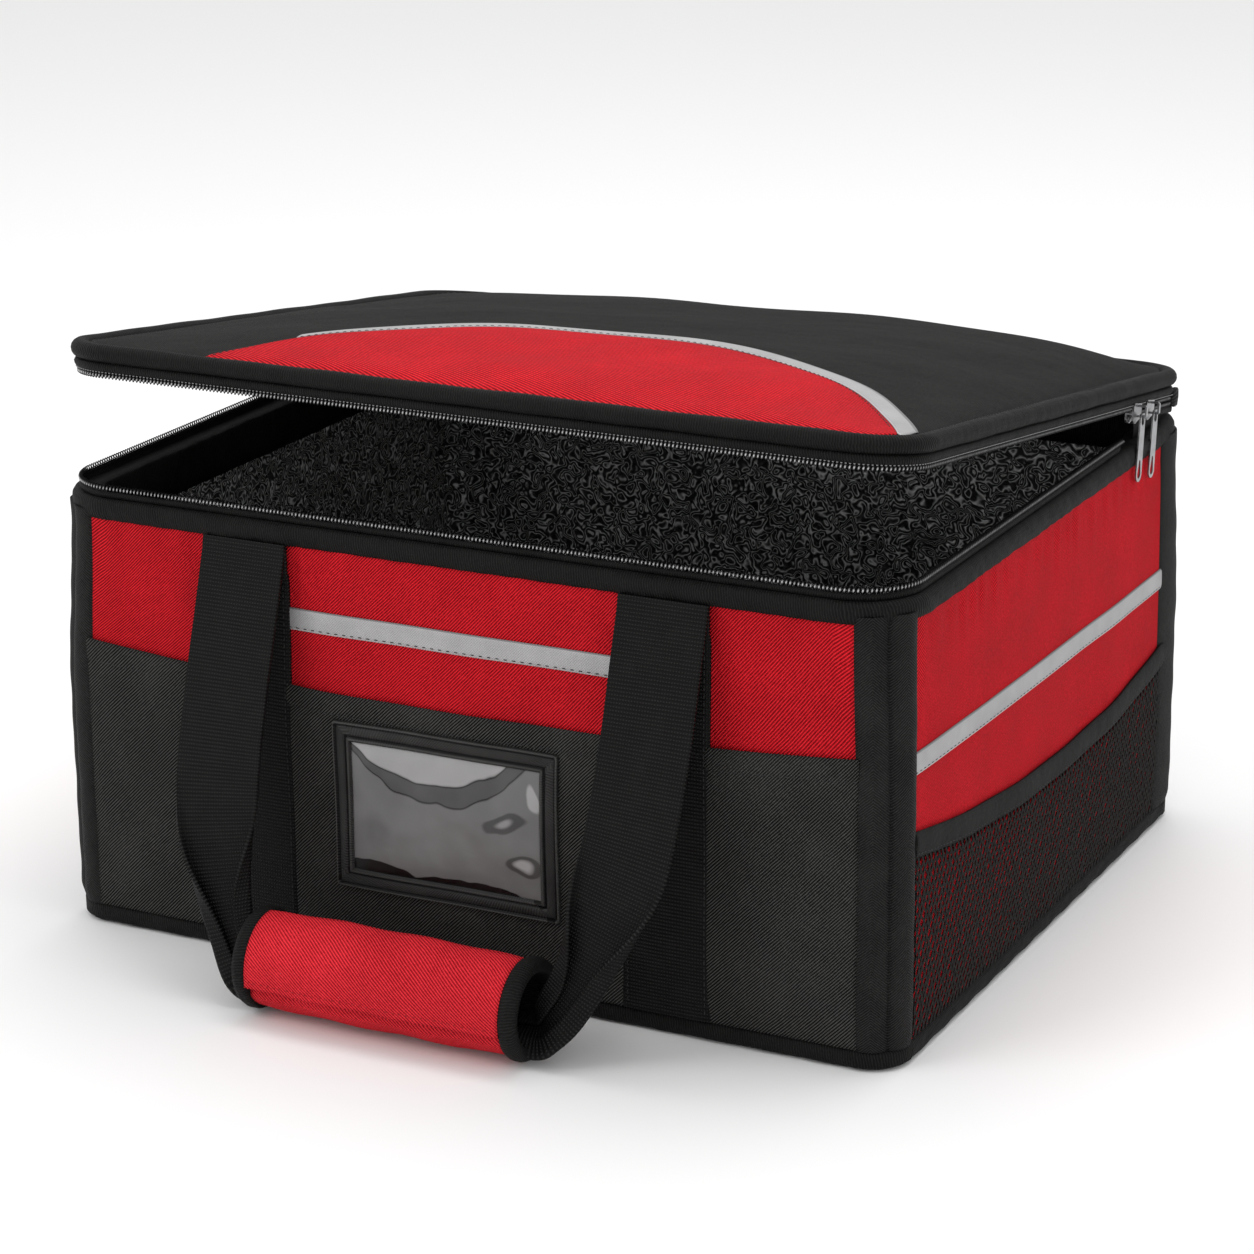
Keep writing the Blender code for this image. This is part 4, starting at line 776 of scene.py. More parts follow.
def corner_bindings():
    """Vertical corner bindings: two rolled ribs of tape with a groove between them."""
    heights = np.linspace(0.0105, BAND_BOTTOM + 0.004, 110)[:, None]
    radius = corner_radius(heights)
    reach = radius * math.pi / 4
    tuck = 1 - smoothstep((0.018 - heights) / 0.010) * 0.6
    for face, facing, extra in (("front", -1, 0.0), ("rear", 1, REAR_ROLL_EXTRA)):
        side_width = ROLL_WIDTH + extra
        distances = np.concatenate((np.linspace(-side_width - ROLL_HEM, 0, 24),
                                    np.linspace(0, ROLL_WIDTH + ROLL_HEM, 23)[1:]))
        share = np.abs(distances) / np.where(distances < 0, side_width, ROLL_WIDTH)
        bead = np.abs(np.sin(math.pi * np.minimum(share, 1.0))) ** 0.6
        held = np.clip(distances, -reach, reach)
        past = distances - held
        angle = math.pi / 4 + held / radius
        for side, sign in (("right", 1), ("left", -1)):
            wobble = 1 + 0.08 * np.sin(heights * 190 + sign) * np.sin(heights * 61)
            out = radius + 0.0036 * bead * wobble * tuck - 0.0008 * (share > 1)
            x = HALF_WIDTH - radius + out * np.cos(angle) - np.maximum(past, 0)
            y = HALF_DEPTH - radius + out * np.sin(angle) + np.minimum(past, 0)
            z = np.broadcast_to(heights, x.shape)
            across = np.broadcast_to(np.abs(distances) - ROLL_WIDTH / 2, x.shape)
            rows = np.stack((sign * x, facing * y, z), axis=-1)[:, ::sign * facing]
            spread = np.stack((z, across), axis=-1)[:, ::sign * facing]
            name = face + "_" + side
            sew(name + "_corner_roll", rows, "corner_binding", "bag", (name + "_corner_binding",),
                POCKET_CLOTH, spread=spread)


def bottom_trim():
    """Binding round the bottom edge, and the base cloth under the bag."""
    profile = [(0.004, 0.0004), (0.0006, 0.0006), (-0.0012, 0.0022), (-0.0018, 0.0055),
               (-0.0013, 0.0092), (0.0004, 0.0112), (0.003, 0.0116)]

    def swell(sides, across, height):
        return 0.0003 * np.sin(across * 210 + height * 900)

    sew("bottom_edge_binding", ring_rows(profile, CORNER_RADIUS, swell), "black_binding", "bag",
        ("bottom_binding",), PANEL_CLOTH, wrap=True)
    places, _, _, _ = ring(BASE_INSET, CORNER_RADIUS)
    levels = ((0.25, 0.0), (0.6, 0.0), (0.9, 0.0), (0.985, 0.0002), (1.0, 0.0012), (1.0, 0.0112))
    rows = [at_height(places * share, height) for share, height in levels]
    base = sew("base_cloth", rows, "black_twill", "bag", ("base_panel",), wrap=True, caps=True,
               spread=np.array(rows)[..., :2])


def rim():
    """Rim band folded over the wall's top edge, and the tape that carries the zip."""
    profile = [(0.0016, 0.2352), (-0.0008, 0.2356), (-0.0016, 0.2372), (-0.0022, 0.2405),
               (-0.0019, 0.2440), (-0.0008, 0.2460), (0.0010, 0.2468), (0.0060, 0.2466),
               (0.0120, 0.2467), (0.0142, 0.2458), (0.0150, 0.2442), (0.0150, 0.2300),
               (0.0144, 0.2215)]

    def swell(sides, across, height):
        straps = (sides == "front") | (sides == "rear")
        near = np.abs(np.abs(across) - WEBBING_CENTRE) / (WEBBING_WIDTH / 2 + 0.004)
        outer = (height > 0.2350) & (height < 0.2441)
        lump = 0.0016 * straps * (1 - smoothstep((near - 0.75) / 0.3)) * outer
        wave = 0.0004 * np.sin(across * 93 + height * 300) * np.sin(across * 37)
        crinkle = 0.00028 * np.sin(across * 420 + 2.5 * np.sin(across * 61) + height * 500)
        return lump + wave + crinkle * (height < 0.2460)

    sew("rim_binding_band", ring_rows(profile, swell=swell), "black_binding", "bag", ("rim_band",),
        TAPE, wrap=True)
    rows = []
    for inset, height in ((0.0040, 0.2462), (0.0022, 0.2474), (0.0018, 0.2490), (0.0026, 0.2506)):
        places, _, _ = rim_line(inset, BODY_ZIP_LEFT, BODY_ZIP_RIGHT, RING_SPACING)
        rows.append(at_height(places, height))
    count = min(len(row) for row in rows)
    sew("body_zip_cloth", [row[:count] for row in rows], "black_binding", "bag",
        ("body_zip_tape",), TAPE)


def coil(name, body, node, height, places, outs, stations):
    """One row of the zip: a nylon wire wound in a flattened coil along the edge."""
    phase = 2 * math.pi * stations / COIL_PITCH
    centre = at_height(places, height)
    wire = (centre + at_height(outs, 0.0) * (COIL_HALF_THICKNESS * np.cos(phase))[:, None]
            + UP * (COIL_HALF_HEIGHT * np.sin(phase))[:, None])
    ahead = units(np.gradient(wire, axis=0))
    normal = wire - centre
    normal = units(normal - ahead * (normal * ahead).sum(axis=1)[:, None])
    side = np.cross(ahead, normal)
    rows = np.stack([wire + COIL_WIRE * (normal * math.cos(a) + side * math.sin(a))
                     for a in (0.0, math.pi / 2, math.pi, 3 * math.pi / 2)], axis=1)
    turns = np.repeat((phase / (2 * math.pi * 1000))[:, None], 4, axis=1)
    sew(name, rows, "zip_coil", body, (node,), wrap=True, caps=True,
        spread=np.stack((np.zeros(turns.shape), turns), axis=-1))


def zips():
    """Both rows of the coil zip, and the closed stretch behind the sliders."""
    coil("body_zip_coil", "bag", "body_zip_chain", BODY_COIL_HEIGHT,
         *rim_line(ZIP_INSET, BODY_ZIP_LEFT, BODY_ZIP_RIGHT, COIL_STEP))
    coil("lid_zip_coil", "lid", "lid_zip_chain", LID_COIL_HEIGHT,
         *rim_line(ZIP_INSET, LID_ZIP_LEFT, LID_ZIP_RIGHT, COIL_STEP))
    stations = np.arange(int((LID_ZIP_RIGHT - CLOSED_START) / COIL_STEP)) * COIL_STEP
    outs = np.tile((1.0, 0.0), (len(stations), 1))
    places = outs * (HALF_WIDTH - ZIP_INSET)
    places[:, 1] = CLOSED_START + stations
    coil("closed_zip_coil", "lid", "closed_zip_row", BODY_COIL_HEIGHT, places, outs, stations)
    y = np.linspace(CLOSED_START - 0.001, LID_ZIP_RIGHT, 24)
    rows = [at_height(np.column_stack((np.full(24, HALF_WIDTH - inset), y)), height)
            for inset, height in ((0.0030, 0.2468), (0.0026, 0.2480), (0.0026, 0.2494), (0.0030, 0.2508))]
    sew("closed_zip_cloth", rows, "black_binding", "lid", ("closed_zip_tape",), TAPE)


# ---------------------------------------------------------------- lining


def quilt(x, y):
    """Return the film's pillows between the points that hold it, 0 to 1."""
    return np.abs(np.sin(x * 26)) * np.abs(np.sin(y * 26))


def lining():
    """Embossed film lining on the walls and the floor."""
    def pillow(sides, across, height):
        return -0.0010 * np.abs(np.sin(across * 31)) * math.sin(math.pi * height / 0.24)

    levels = [(LINER_INSET, height) for height in np.linspace(LINER_TOP, LINER_BOTTOM, 40)]
    rows = ring_rows(levels, LINER_INSET + LINER_TURN, pillow)
    liner = sew("wall_lining_film", rows, "liner_foil", "bag", ("wall_liner",), FILM, wrap=True)
    half_x = HALF_WIDTH - LINER_INSET - FLOOR_FILM_INSET
    half_y = HALF_DEPTH - LINER_INSET - FLOOR_FILM_INSET
    x, y = np.meshgrid(np.linspace(-half_x, half_x, 90), np.linspace(-half_y, half_y, 80))
    in_x = np.clip(np.abs(x) - half_x + FLOOR_TURN, 0, 1)
    in_y = np.clip(np.abs(y) - half_y + FLOOR_TURN, 0, 1)
    pull = 1 - FLOOR_TURN / np.maximum(np.hypot(in_x, in_y), FLOOR_TURN)
    x = np.sign(x) * (np.abs(x) - in_x * pull)
    y = np.sign(y) * (np.abs(y) - in_y * pull)
    rows = np.stack((x, y, FLOOR_HEIGHT + 0.0008 * quilt(x, y)), axis=-1)
    liner = sew("floor_lining_film", rows, "liner_foil", "bag", ("floor_liner",), FILM)


# ---------------------------------------------------------------- lid


def crown(x, y):
    """Return the height of the lid's padded top, shut, with its seam valley and ripples."""
    power = CROWN_POWER + 2.0 * smoothstep(x / 0.24)
    across = np.clip(1 - np.abs(x / LID_HALF_X) ** power, 0, 1)
    rear_power = CROWN_POWER + (0.8 + 2.2 * smoothstep((x + 0.25) / 0.5)) * (y > 0)
    along = np.clip(1 - np.abs(y / LID_HALF_Y) ** rear_power, 0, 1)
    edge = np.minimum(LID_HALF_X - np.abs(x), LID_HALF_Y - np.abs(y))
    valley = 0.0016 * np.exp(-np.clip(edge, 0, 1) / 0.004)
    waves = 0.0005 * (np.sin(x * 47 + y * 31) + np.sin(x * 23 - y * 67 + 1.3)) * np.clip(
        edge / 0.03, 0, 1)
    lump = 0.0035 * np.exp(-((x - 0.150) / 0.15) ** 2 - ((y - 0.140) / 0.11) ** 2)
    return LID_EDGE_TOP + (LID_CROWN + lump) * across * along - valley + waves


def rounded(places, half):
    """Return how far the lid's outline reaches at places along it, with its rounded corners."""
    past = np.clip(np.abs(places) - (half - LID_TURN), 0, LID_TURN)
    return np.sqrt(LID_TURN ** 2 - past ** 2) - LID_TURN


def lid_grid(half_x, half_y, rows, shares):
    """Return x and y over the lid's outline, in rows that crowd towards its front and rear."""
    ys = half_y * np.sin(np.linspace(-math.pi / 2, math.pi / 2, rows))[:, None]
    x = (half_x + rounded(ys, half_y)) * shares
    return x, np.broadcast_to(ys, x.shape)


def lid_edge(x):
    """Return the place of the lid cloth's front edge, which turns in at the corners."""
    return -LID_HALF_Y - rounded(x, LID_HALF_X)


def arc(x, radius):
    """Return the rear side of a circle about the red panel's centre."""
    return ARC_CENTRE_Y + np.sqrt(np.clip(radius ** 2 - (x - ARC_CENTRE_X) ** 2, 0, 1))


def arc_ends(radius, margin):
    """Return where a circle about that centre meets the front edge of the lid's cloth."""
    x = np.linspace(-LID_HALF_X, LID_HALF_X, 400)
    inside = x[arc(x, radius) > lid_edge(x) + margin]
    return inside[0], inside[-1]


def on_crown(columns, low, high, rows, puff, tuck, power):
    """Return a grid on the lid's top between two edges, puffed up off it and held at them."""
    share = np.linspace(0, 1, rows)[:, None]
    y = low + (high - low) * share
    x = np.broadcast_to(columns, y.shape)
    return np.stack((x, y, crown(x, y) + puff - tuck * np.abs(2 * share - 1) ** power), axis=-1)


def lid_cloth():
    """Padded lid with its crown, the red curved panel and the reflective arc."""
    x, y = lid_grid(LID_HALF_X, LID_HALF_Y, 150, np.sin(np.linspace(-math.pi / 2, math.pi / 2, 151)))
    top = np.stack((x, y, crown(x, y)), axis=-1)
    lid = sew("lid_top_cloth", top, "black_twill", "lid", ("lid_panel",), LID_SHELL, spread=top[..., :2])
    start, stop = arc_ends(ARC_RADIUS, 0.0005)
    columns = np.linspace(start, stop, 170)
    low = lid_edge(columns)
    high = np.maximum(arc(columns, ARC_RADIUS), low + 0.0004)
    grid = on_crown(columns, low, high, 40, 0.0011, 0.0006, 14)
    panel = sew("lid_red_cloth", grid, "lid_twill_painted_lighter", "lid", ("lid_red_panel",), TAPE,
                spread=grid[..., :2])
    start, stop = arc_ends(ARC_RADIUS + STRIP_WIDTH, 0.0008)
    columns = np.linspace(STRIP_START, stop - 0.001, 170)
    inner = ARC_RADIUS + 0.0002
    width = STRIP_WIDTH * (0.35 + 0.65 * smoothstep((columns - STRIP_START) / 0.05))
    low = np.maximum(arc(columns, inner), lid_edge(columns))
    high = np.maximum(arc(columns, inner + width), low + 0.0003)
    grid = on_crown(columns, low, high, 7, 0.0012, 0.0004, 6)
    strip = sew("lid_reflective_strip", grid, "reflective_tape", "lid", ("lid_reflective_arc",),
                THIN_CLOTH)
    x = np.linspace(start + 0.012, stop - 0.012, 120)
    y = arc(x, ARC_RADIUS - 0.0022)
    line = np.stack((x, y, crown(x, y) + 0.0013), axis=-1)[y > lid_edge(x)]
    stitch("lid_panel_stitching", [(line, UP)], "dark_thread", "lid")


def lid_trim():
    """Ribbed piping round the lid, its zip band, and the stitched line inside the piping."""
    places, outs, _, _ = ring(PIPING_INSET)
    count = np.arange(len(places))
    radius = PIPING_RADIUS * (1 + 0.05 * np.sin(count * 0.21) * np.sin(count * 0.083))[:, None]
    rows = [at_height(places, PIPING_HEIGHT)
            + (at_height(outs, 0.0) * math.cos(angle) + UP * math.sin(angle)) * radius
            for angle in 2 * math.pi * np.arange(16) / 16]
    sew("lid_piping", rows, "black_binding", "lid", ("lid_binding",), wrap=True, wrap_rows=True)
    profile = [(0.0030, 0.2548), (0.0030, 0.2572), (0.0012, 0.2578), (0.0002, 0.2590),
               (-0.0002, 0.2604), (0.0004, 0.2618), (0.0020, 0.2627), (0.0040, 0.2630)]
    sew("lid_zip_cloth", ring_rows(profile), "black_binding", "lid", ("lid_zip_tape",), TAPE, wrap=True)
    places, outs, _ = rim_line(0.0012, LID_ZIP_LEFT, LID_ZIP_RIGHT, 0.002)
    line = at_height(places, 0.2575)
    stitch("lid_zip_stitching", [(line, at_height(outs, -0.4))], "grey_thread", "lid", 0.0012, 0.0010)
    places, _, _, _ = ring(LID_INSET + 0.0014)
    line = at_height(places, crown(places[:, 0], places[:, 1]) + 0.0001)
    stitch("lid_edge_stitching", [(line, UP)], "dark_thread", "lid")


def lid_underside():
    """Embossed film under the lid."""
    half_x = LID_HALF_X - LID_FILM_INSET
    half_y = LID_HALF_Y - LID_FILM_INSET
    x, y = lid_grid(half_x, half_y, 80, np.linspace(-1, 1, 90))
    held = np.clip(1 - np.abs(x / half_x) ** 6, 0, 1) * np.clip(1 - np.abs(y / half_y) ** 6, 0, 1)
    z = LID_FILM_HEIGHT - held * (0.0012 + 0.0007 * quilt(x, y))
    liner = sew("lid_lining_film", np.stack((x, y, z), axis=-1)[::-1], "liner_foil", "lid",
                ("lid_liner",), FILM)


def hinge_cloth():
    """Strip of cloth that joins the lid's rear edge to the rim, shaped to the lid's rest angle."""
    half = HALF_WIDTH - RIM_RADIUS + 0.004
    x = np.linspace(half, -half, 90)
    profile = [(0.2150, 0.2452), (0.2168, 0.2466), (0.2174, 0.2490), (0.2176, 0.2515),
               (0.2176, 0.2540), (0.2176, 0.2565), (0.2174, 0.2590), (0.2168, 0.2614),
               (0.2155, 0.2632)]
    rows = []
    for y, z in profile:
        line = at_height(np.column_stack((x, np.full(len(x), y))), z)
        share = min(max((z - HINGE_BEND_START) / 0.007, 0.0), 1.0)
        rows.append(line * (1 - share) + on_lid(line) * share)
    piece = sew("hinge_cloth", rows, "black_binding", None, ("rear_hinge_tape", "lid_hinge_tape"),
                PANEL_CLOTH)
    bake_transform(piece)


def rear_corner(inset, sign, least_x, least_y):
    """Return places and outward directions round one rear corner, in order along it."""
    places, outs, _, _ = ring(inset)
    kept = (places[:, 0] * sign > least_x) & (places[:, 1] > least_y)
    places = places[kept]
    order = np.argsort(places[:, 1] - places[:, 0] * sign)[::sign]
    return places[order], outs[kept][order]


def rear_gussets():
    """Folded cloth that fills the wedge between the rim and the lid round each rear corner."""
    for name, sign in (("right", 1), ("left", -1)):
        near, outs = rear_corner(-0.0002, sign, 0.2135, 0.2015)
        rise = 0.0108 - 0.0043 * smoothstep((near[:, 1] - 0.2055) / 0.0045)
        folds = ((0.0, 0.0), (0.2, 0.0002), (0.45, 0.0007), (0.7, 0.0007), (0.9, 0.0002),
                 (1.0, -0.0004))
        rows = [at_height(near + outs * fold, CORNER_CLOTH_BOTTOM + rise * share)
                for share, fold in folds]
        sew(name + "_rear_corner_cloth", rows, "black_binding", "bag", (), THIN_CLOTH)
    for name, sign, front in (("right", 1, 0.137), ("left", -1, 0.196)):
        near, _ = rear_corner(GUSSET_INSET, sign, 0.205, front)
        rise = (HINGE_Y - near[:, 1]) * math.sin(LID_OPEN_ANGLE) + 0.0012
        rows = [at_height(near + (sign * 0.0006 * math.sin(math.pi * share), 0),
                          BAND_TOP - 0.0006 + rise * share) for share in np.linspace(0, 1, 6)]
        sew(name + "_rear_gusset", rows, "black_binding", "bag", (), THIN_CLOTH)


def zip_end():
    """Folded cloth tab over the end of the zip at the lid's right rear corner."""
    section = np.array([(0.2458, 0.2610), (0.2476, 0.2610), (0.2483, 0.2600), (0.2486, 0.2560),
                        (0.2483, 0.2512), (0.2476, 0.2499), (0.2458, 0.2500)])
    middle = np.array((0.2458, 0.2555))
    rows = []
    for y, swell in ((0.1885, 0.0), (0.1892, 0.8), (0.194, 1.0), (0.1985, 1.0), (0.2000, 0.85),
                     (0.2004, 0.0)):
        rows.append([(x, y, z) for x, z in middle + (section - middle) * swell])
    sew("right_zip_end_tab", rows, "black_binding", "lid", wrap=True)


# ---------------------------------------------------------------- webbing, handles and grip


def sewn_webbings():
    """Webbing sewn flat down the front and the rear, under the handles."""
    lines = []
    span = np.linspace(-1, 1, 15)
    heights = np.linspace(PANEL_BOTTOM, BAND_BOTTOM - GAP, 90)[:, None]
    seat = POCKET_LIFT + WEBBING_THICKNESS
    lift = seat - 0.0005 * np.abs(span) ** 8 + 0.0020 * smoothstep((heights - 0.216) / 0.006)
    for face, facing in (("front", 1), ("rear", -1)):
        for side, name in ((-1, "left"), (1, "right")):
            middle = side * facing * WEBBING_CENTRE
            sew(face + "_" + name + "_sewn_webbing",
                skin(face, middle + span * WEBBING_WIDTH / 2, heights, lift), "black_webbing", "bag",
                (face + "_" + name + "_webbing",), WEBBING_THICKNESS)
            for edge in (-1, 1):
                across = middle + edge * (WEBBING_WIDTH / 2 - 0.003)
                line = skin(face, across, np.linspace(0.014, 0.215, 60), seat)
                lines.append((line, SIDES[face][1]))
    stitch("webbing_stitching", lines, "dark_thread", "bag")


def smooth_curve(points, count):
    """Return points on a smooth curve through others."""
    points = np.asarray(points, float)
    padded = np.concatenate((2 * points[:1] - points[1:2], points, 2 * points[-1:] - points[-2:-1]))
    result = []
    for index in range(count + 1):
        place = (len(points) - 1) * index / count
        leg = min(int(place), len(points) - 2)
        share = place - leg
        before, start, stop, after = padded[leg:leg + 4]
        result.append(0.5 * (2 * start + (stop - before) * share
                             + (2 * before - 5 * start + 4 * stop - after) * share ** 2
                             + (3 * start - before - 3 * stop + after) * share ** 3))
    return np.array(result)


def folded_section(folded):
    """Return the webbing's section, its edges tucked behind it by a share."""
    distance = np.linspace(-WEBBING_WIDTH / 2, WEBBING_WIDTH / 2, 41)
    flat = (WEBBING_WIDTH - (WEBBING_WIDTH - FOLDED_WIDTH) * folded) / 2
    past = np.maximum(np.abs(distance) - flat, 0.0)
    angle = np.minimum(past / FOLD_RADIUS, math.pi * 0.97 * folded)
    rest = past - angle * FOLD_RADIUS
    out = np.minimum(np.abs(distance), flat) + FOLD_RADIUS * np.sin(angle) + rest * np.cos(angle)
    back = FOLD_RADIUS * (1 - np.cos(angle)) + rest * np.sin(angle)
    return np.sign(distance) * out, back


def half_strap(side, facing, reach):
    """Return the rows of one half of a handle's webbing, from its anchor to the middle."""
    seat_y = facing * reach
    seat_z = STRAP_SEAT_Z - PIVOT_Z
    middle_x = GRIP_CENTRE[0] * side
    grip_end = middle_x + GRIP_LENGTH / 2 + GRIP_BINDING
    points = [
        (WEBBING_CENTRE + (grip_end - WEBBING_CENTRE) * spread, facing * PIVOT_Y + seat_y * forward,
         PIVOT_Z + seat_z * drop)
        for spread, forward, drop in ROUTE_SHARES
    ]
    points.append((middle_x + GRIP_LENGTH / 2 - 0.008, facing * PIVOT_Y + seat_y, STRAP_SEAT_Z))
    line = smooth_curve(points, 96)
    inner = line[-1]
    inside = [(inner[0] + (middle_x - inner[0]) * share, inner[1], inner[2])
              for share in (0.1, 0.2, 0.35, 0.5, 0.75, 1.0)]
    above = [(WEBBING_CENTRE, facing * (PIVOT_Y - 0.0016 * k / 3), PIVOT_Z + 0.0075 * k / 3)
             for k in (3, 2, 1)]
    line = np.concatenate((above, line, inside))
    lengths = run_lengths(line)
    entry = lengths[np.argmin(np.abs(line[:, 0] - grip_end) + np.abs(line[:, 2] - STRAP_SEAT_Z))]
    ahead = units(np.gradient(line, axis=0))
    across = np.array((1.0, 0.0, 0.0))
    rows = []
    for place, along, length in zip(line, ahead, lengths):
        across = units(across - along * across.dot(along))
        drop = (place[2] - PIVOT_Z) / seat_z
        folded = smoothstep((drop - FOLD_START_SHARE) / (FOLD_END_SHARE - FOLD_START_SHARE))
        turned = smoothstep((length - entry + TWIST_LENGTH / 2) / TWIST_LENGTH)
        twist = -facing * math.pi / 2 * turned
        wide = across * math.cos(twist) + np.cross(along, across) * math.sin(twist)
        back = facing * np.cross(wide, along)
        out, behind = folded_section(folded)
        rows.append(place + wide * out[:, None] + back * (behind - FOLD_RADIUS * folded)[:, None])
    return np.array(rows) * (side, 1, 1)


def handle(face, facing, reach):
    """Webbing loop of a handle, bending at its sewn anchors."""
    rows = np.concatenate((half_strap(1, facing, reach), half_strap(-1, facing, reach)[-2::-1]))
    strap = sew(face + "_handle_webbing", rows, "black_webbing", None, (face + "_handle_strap",),
                0.0018, offset=0.0)
    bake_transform(strap)


def grip_ring(x, radius, angles):
    """Return points round the grip's axis at a place along it."""
    return np.stack((np.full(len(angles), GRIP_CENTRE[0] + x), GRIP_CENTRE[1] - radius * np.cos(angles),
                     GRIP_CENTRE[2] + radius * np.sin(angles)), axis=-1)


def padded_ring(x, radius, angles):
    """Return points round the grip's padding, which bulges and ripples between its ends."""
    held = x / (GRIP_LENGTH / 2)
    ripple = 0.0004 * np.sin(x * 130 + angles * 3) * (1 - held ** 6)
    return grip_ring(x, radius + 0.0012 * (1 - held ** 4) + ripple, angles)


def grip():
    """Padded red grip with its flap and bound ends."""
    stations = np.linspace(-GRIP_LENGTH / 2, GRIP_LENGTH / 2, 60)
    angles = np.concatenate((np.linspace(RECESS_START, RECESS_END, 24),
                             np.linspace(RECESS_END + 0.05, RECESS_START + 2 * math.pi - 0.03, 48)))
    depth = np.repeat((0.0034, 0.0012), (24, 48))
    depth[-3:] = (0.0022, 0.0034, 0.0034)
    depth[24:27] = (0.0030, 0.0021, 0.0015)
    rows = [padded_ring(x, GRIP_RADIUS - depth, angles) for x in stations]
    rows += [grip_ring(x, GRIP_BORE, angles) for x in stations[::-1]]
    wrap = sew("grip_padding", np.array(rows)[:, ::-1], "grip_twill_painted_lighter", "front_handle", ("grip_wrap",),
               wrap=True, wrap_rows=True)
    wrap.data.materials.append(FINISHES["black_binding"])
    for face in wrap.data.polygons[(len(stations) - 1) * len(angles):]:
        face.material_index = 1
    angles = np.linspace(FLAP_START, FLAP_END, 34)
    lip = 0.0009 * np.exp((angles[0] - angles) / 0.09)
    rows = np.array([padded_ring(x, GRIP_RADIUS + 0.0006 + lip, angles) for x in stations])
    flap = sew("grip_flap_cloth", rows[:, ::-1], "grip_twill_painted_lighter", "flap", ("grip_flap",), 0.0022)
    seam = np.array([math.radians(-7)])
    line = np.array([padded_ring(x, GRIP_RADIUS + 0.0009, seam)[0] for x in stations])
    outs = units((line - GRIP_CENTRE) * (0, 1, 1))
    stitch("grip_flap_stitching", [(line, outs)], "red_thread", "flap")
    angles = 2 * math.pi * np.arange(48) / 48
    profile = [(0.0, GRIP_BORE - 0.0004), (0.0, GRIP_RADIUS + 0.0004), (0.0018, GRIP_RADIUS + 0.0012),
               (0.0050, GRIP_RADIUS + 0.0013), (0.0078, GRIP_RADIUS), (0.0090, GRIP_RADIUS - 0.0022),
               (0.0088, GRIP_BORE + 0.0016), (0.0074, GRIP_BORE), (0.003, GRIP_BORE - 0.0004)]
    for side, name in ((-1, "left"), (1, "right")):
        rows = [grip_ring(side * (GRIP_LENGTH / 2 + step), radius, angles) for step, radius in profile]
        sew(name + "_grip_end_binding", np.array(rows)[:, ::-side], "black_binding", "front_handle",
            (name + "_grip_binding",), wrap=True, wrap_rows=True)


# ---------------------------------------------------------------- pockets, strips and window


def pocket_top(x):
    """Return the height of the front pocket's edge, which sags towards the middle."""
    return POCKET_HEIGHT + POCKET_RISE * (x / SIDE_EDGE_X) ** 2


def pocket_face(x, z, start, stop):
    """Return how far the pocket cloth stands off the wall inside one bay."""
    across = np.clip((x - start) / (stop - start), 0, 1)
    up = np.clip((z - PANEL_BOTTOM) / (pocket_top(x) - PANEL_BOTTOM), 0, 1)
    puff = 0.0022 * (1 - np.abs(2 * across - 1) ** 6) * (1 - np.abs(2 * up - 1) ** 6)
    return POCKET_LIFT + 0.0012 + puff


def hem(drop):
    """Return the lift of a hem at a drop below its edge, with the groove of its seam."""
    return 0.0005 * (drop < HEM_HEIGHT) - 0.0005 * np.exp(-((drop - HEM_HEIGHT) / 0.0012) ** 2)


def front_pocket():
    """Three pocket bays, each hemmed along its top."""
    lines = []
    for name, start, stop in BAYS:
        x = np.linspace(start, stop, max(24, int((stop - start) / 0.003)))
        tops = pocket_top(x)
        z = PANEL_BOTTOM + (tops - PANEL_BOTTOM) * np.linspace(0, 1, 62)[:, None]
        grid = skin("front", x, z, pocket_face(x, z, start, stop) + hem(tops - z))
        pocket = sew("pocket_bay_" + name, grid, "pocket_twill", "bag", ("front_pocket_" + name,),
                     POCKET_CLOTH)
        float((tops - PANEL_BOTTOM).mean())
        z = tops - HEM_HEIGHT
        line = skin("front", x, z, pocket_face(x, z, start, stop) + 0.0001)
        lines.append((line, SIDES["front"][1]))
    stitch("pocket_stitching", lines, "dark_thread", "bag")


def on_window(x, z, lift):
    """Return places on the middle bay, measured from the window's middle."""
    x = x + WINDOW_CENTRE_X
    z = z + WINDOW_BOTTOM + WINDOW_HEIGHT / 2
    return skin("front", x, z, pocket_face(x, z, -WEBBING_INNER, WEBBING_INNER) + lift)


def border_ring(inset, lift, count=28):
    """Return a rounded rectangle of points on the window's border."""
    half_x = WINDOW_WIDTH / 2 - inset
    half_z = WINDOW_HEIGHT / 2 - inset
    turn = max(0.0016 - inset * 0.2, 0.0005)
    corners = []
    for side, end, start in ((1, -1, 270), (1, 1, 0), (-1, 1, 90), (-1, -1, 180)):
        angles = np.radians(start + 90 * np.arange(7) / 6)
        corners.append(np.column_stack((side * (half_x - turn) + turn * np.cos(angles),
                                        end * (half_z - turn) + turn * np.sin(angles))))
    share = (np.arange(1, count) / count)[:, None]
    points = []
    for corner, following in zip(corners, corners[1:] + corners[:1]):
        points += [corner, corner[-1] + (following[0] - corner[-1]) * share]
    x, z = np.concatenate(points).T
    return on_window(x, z, lift)


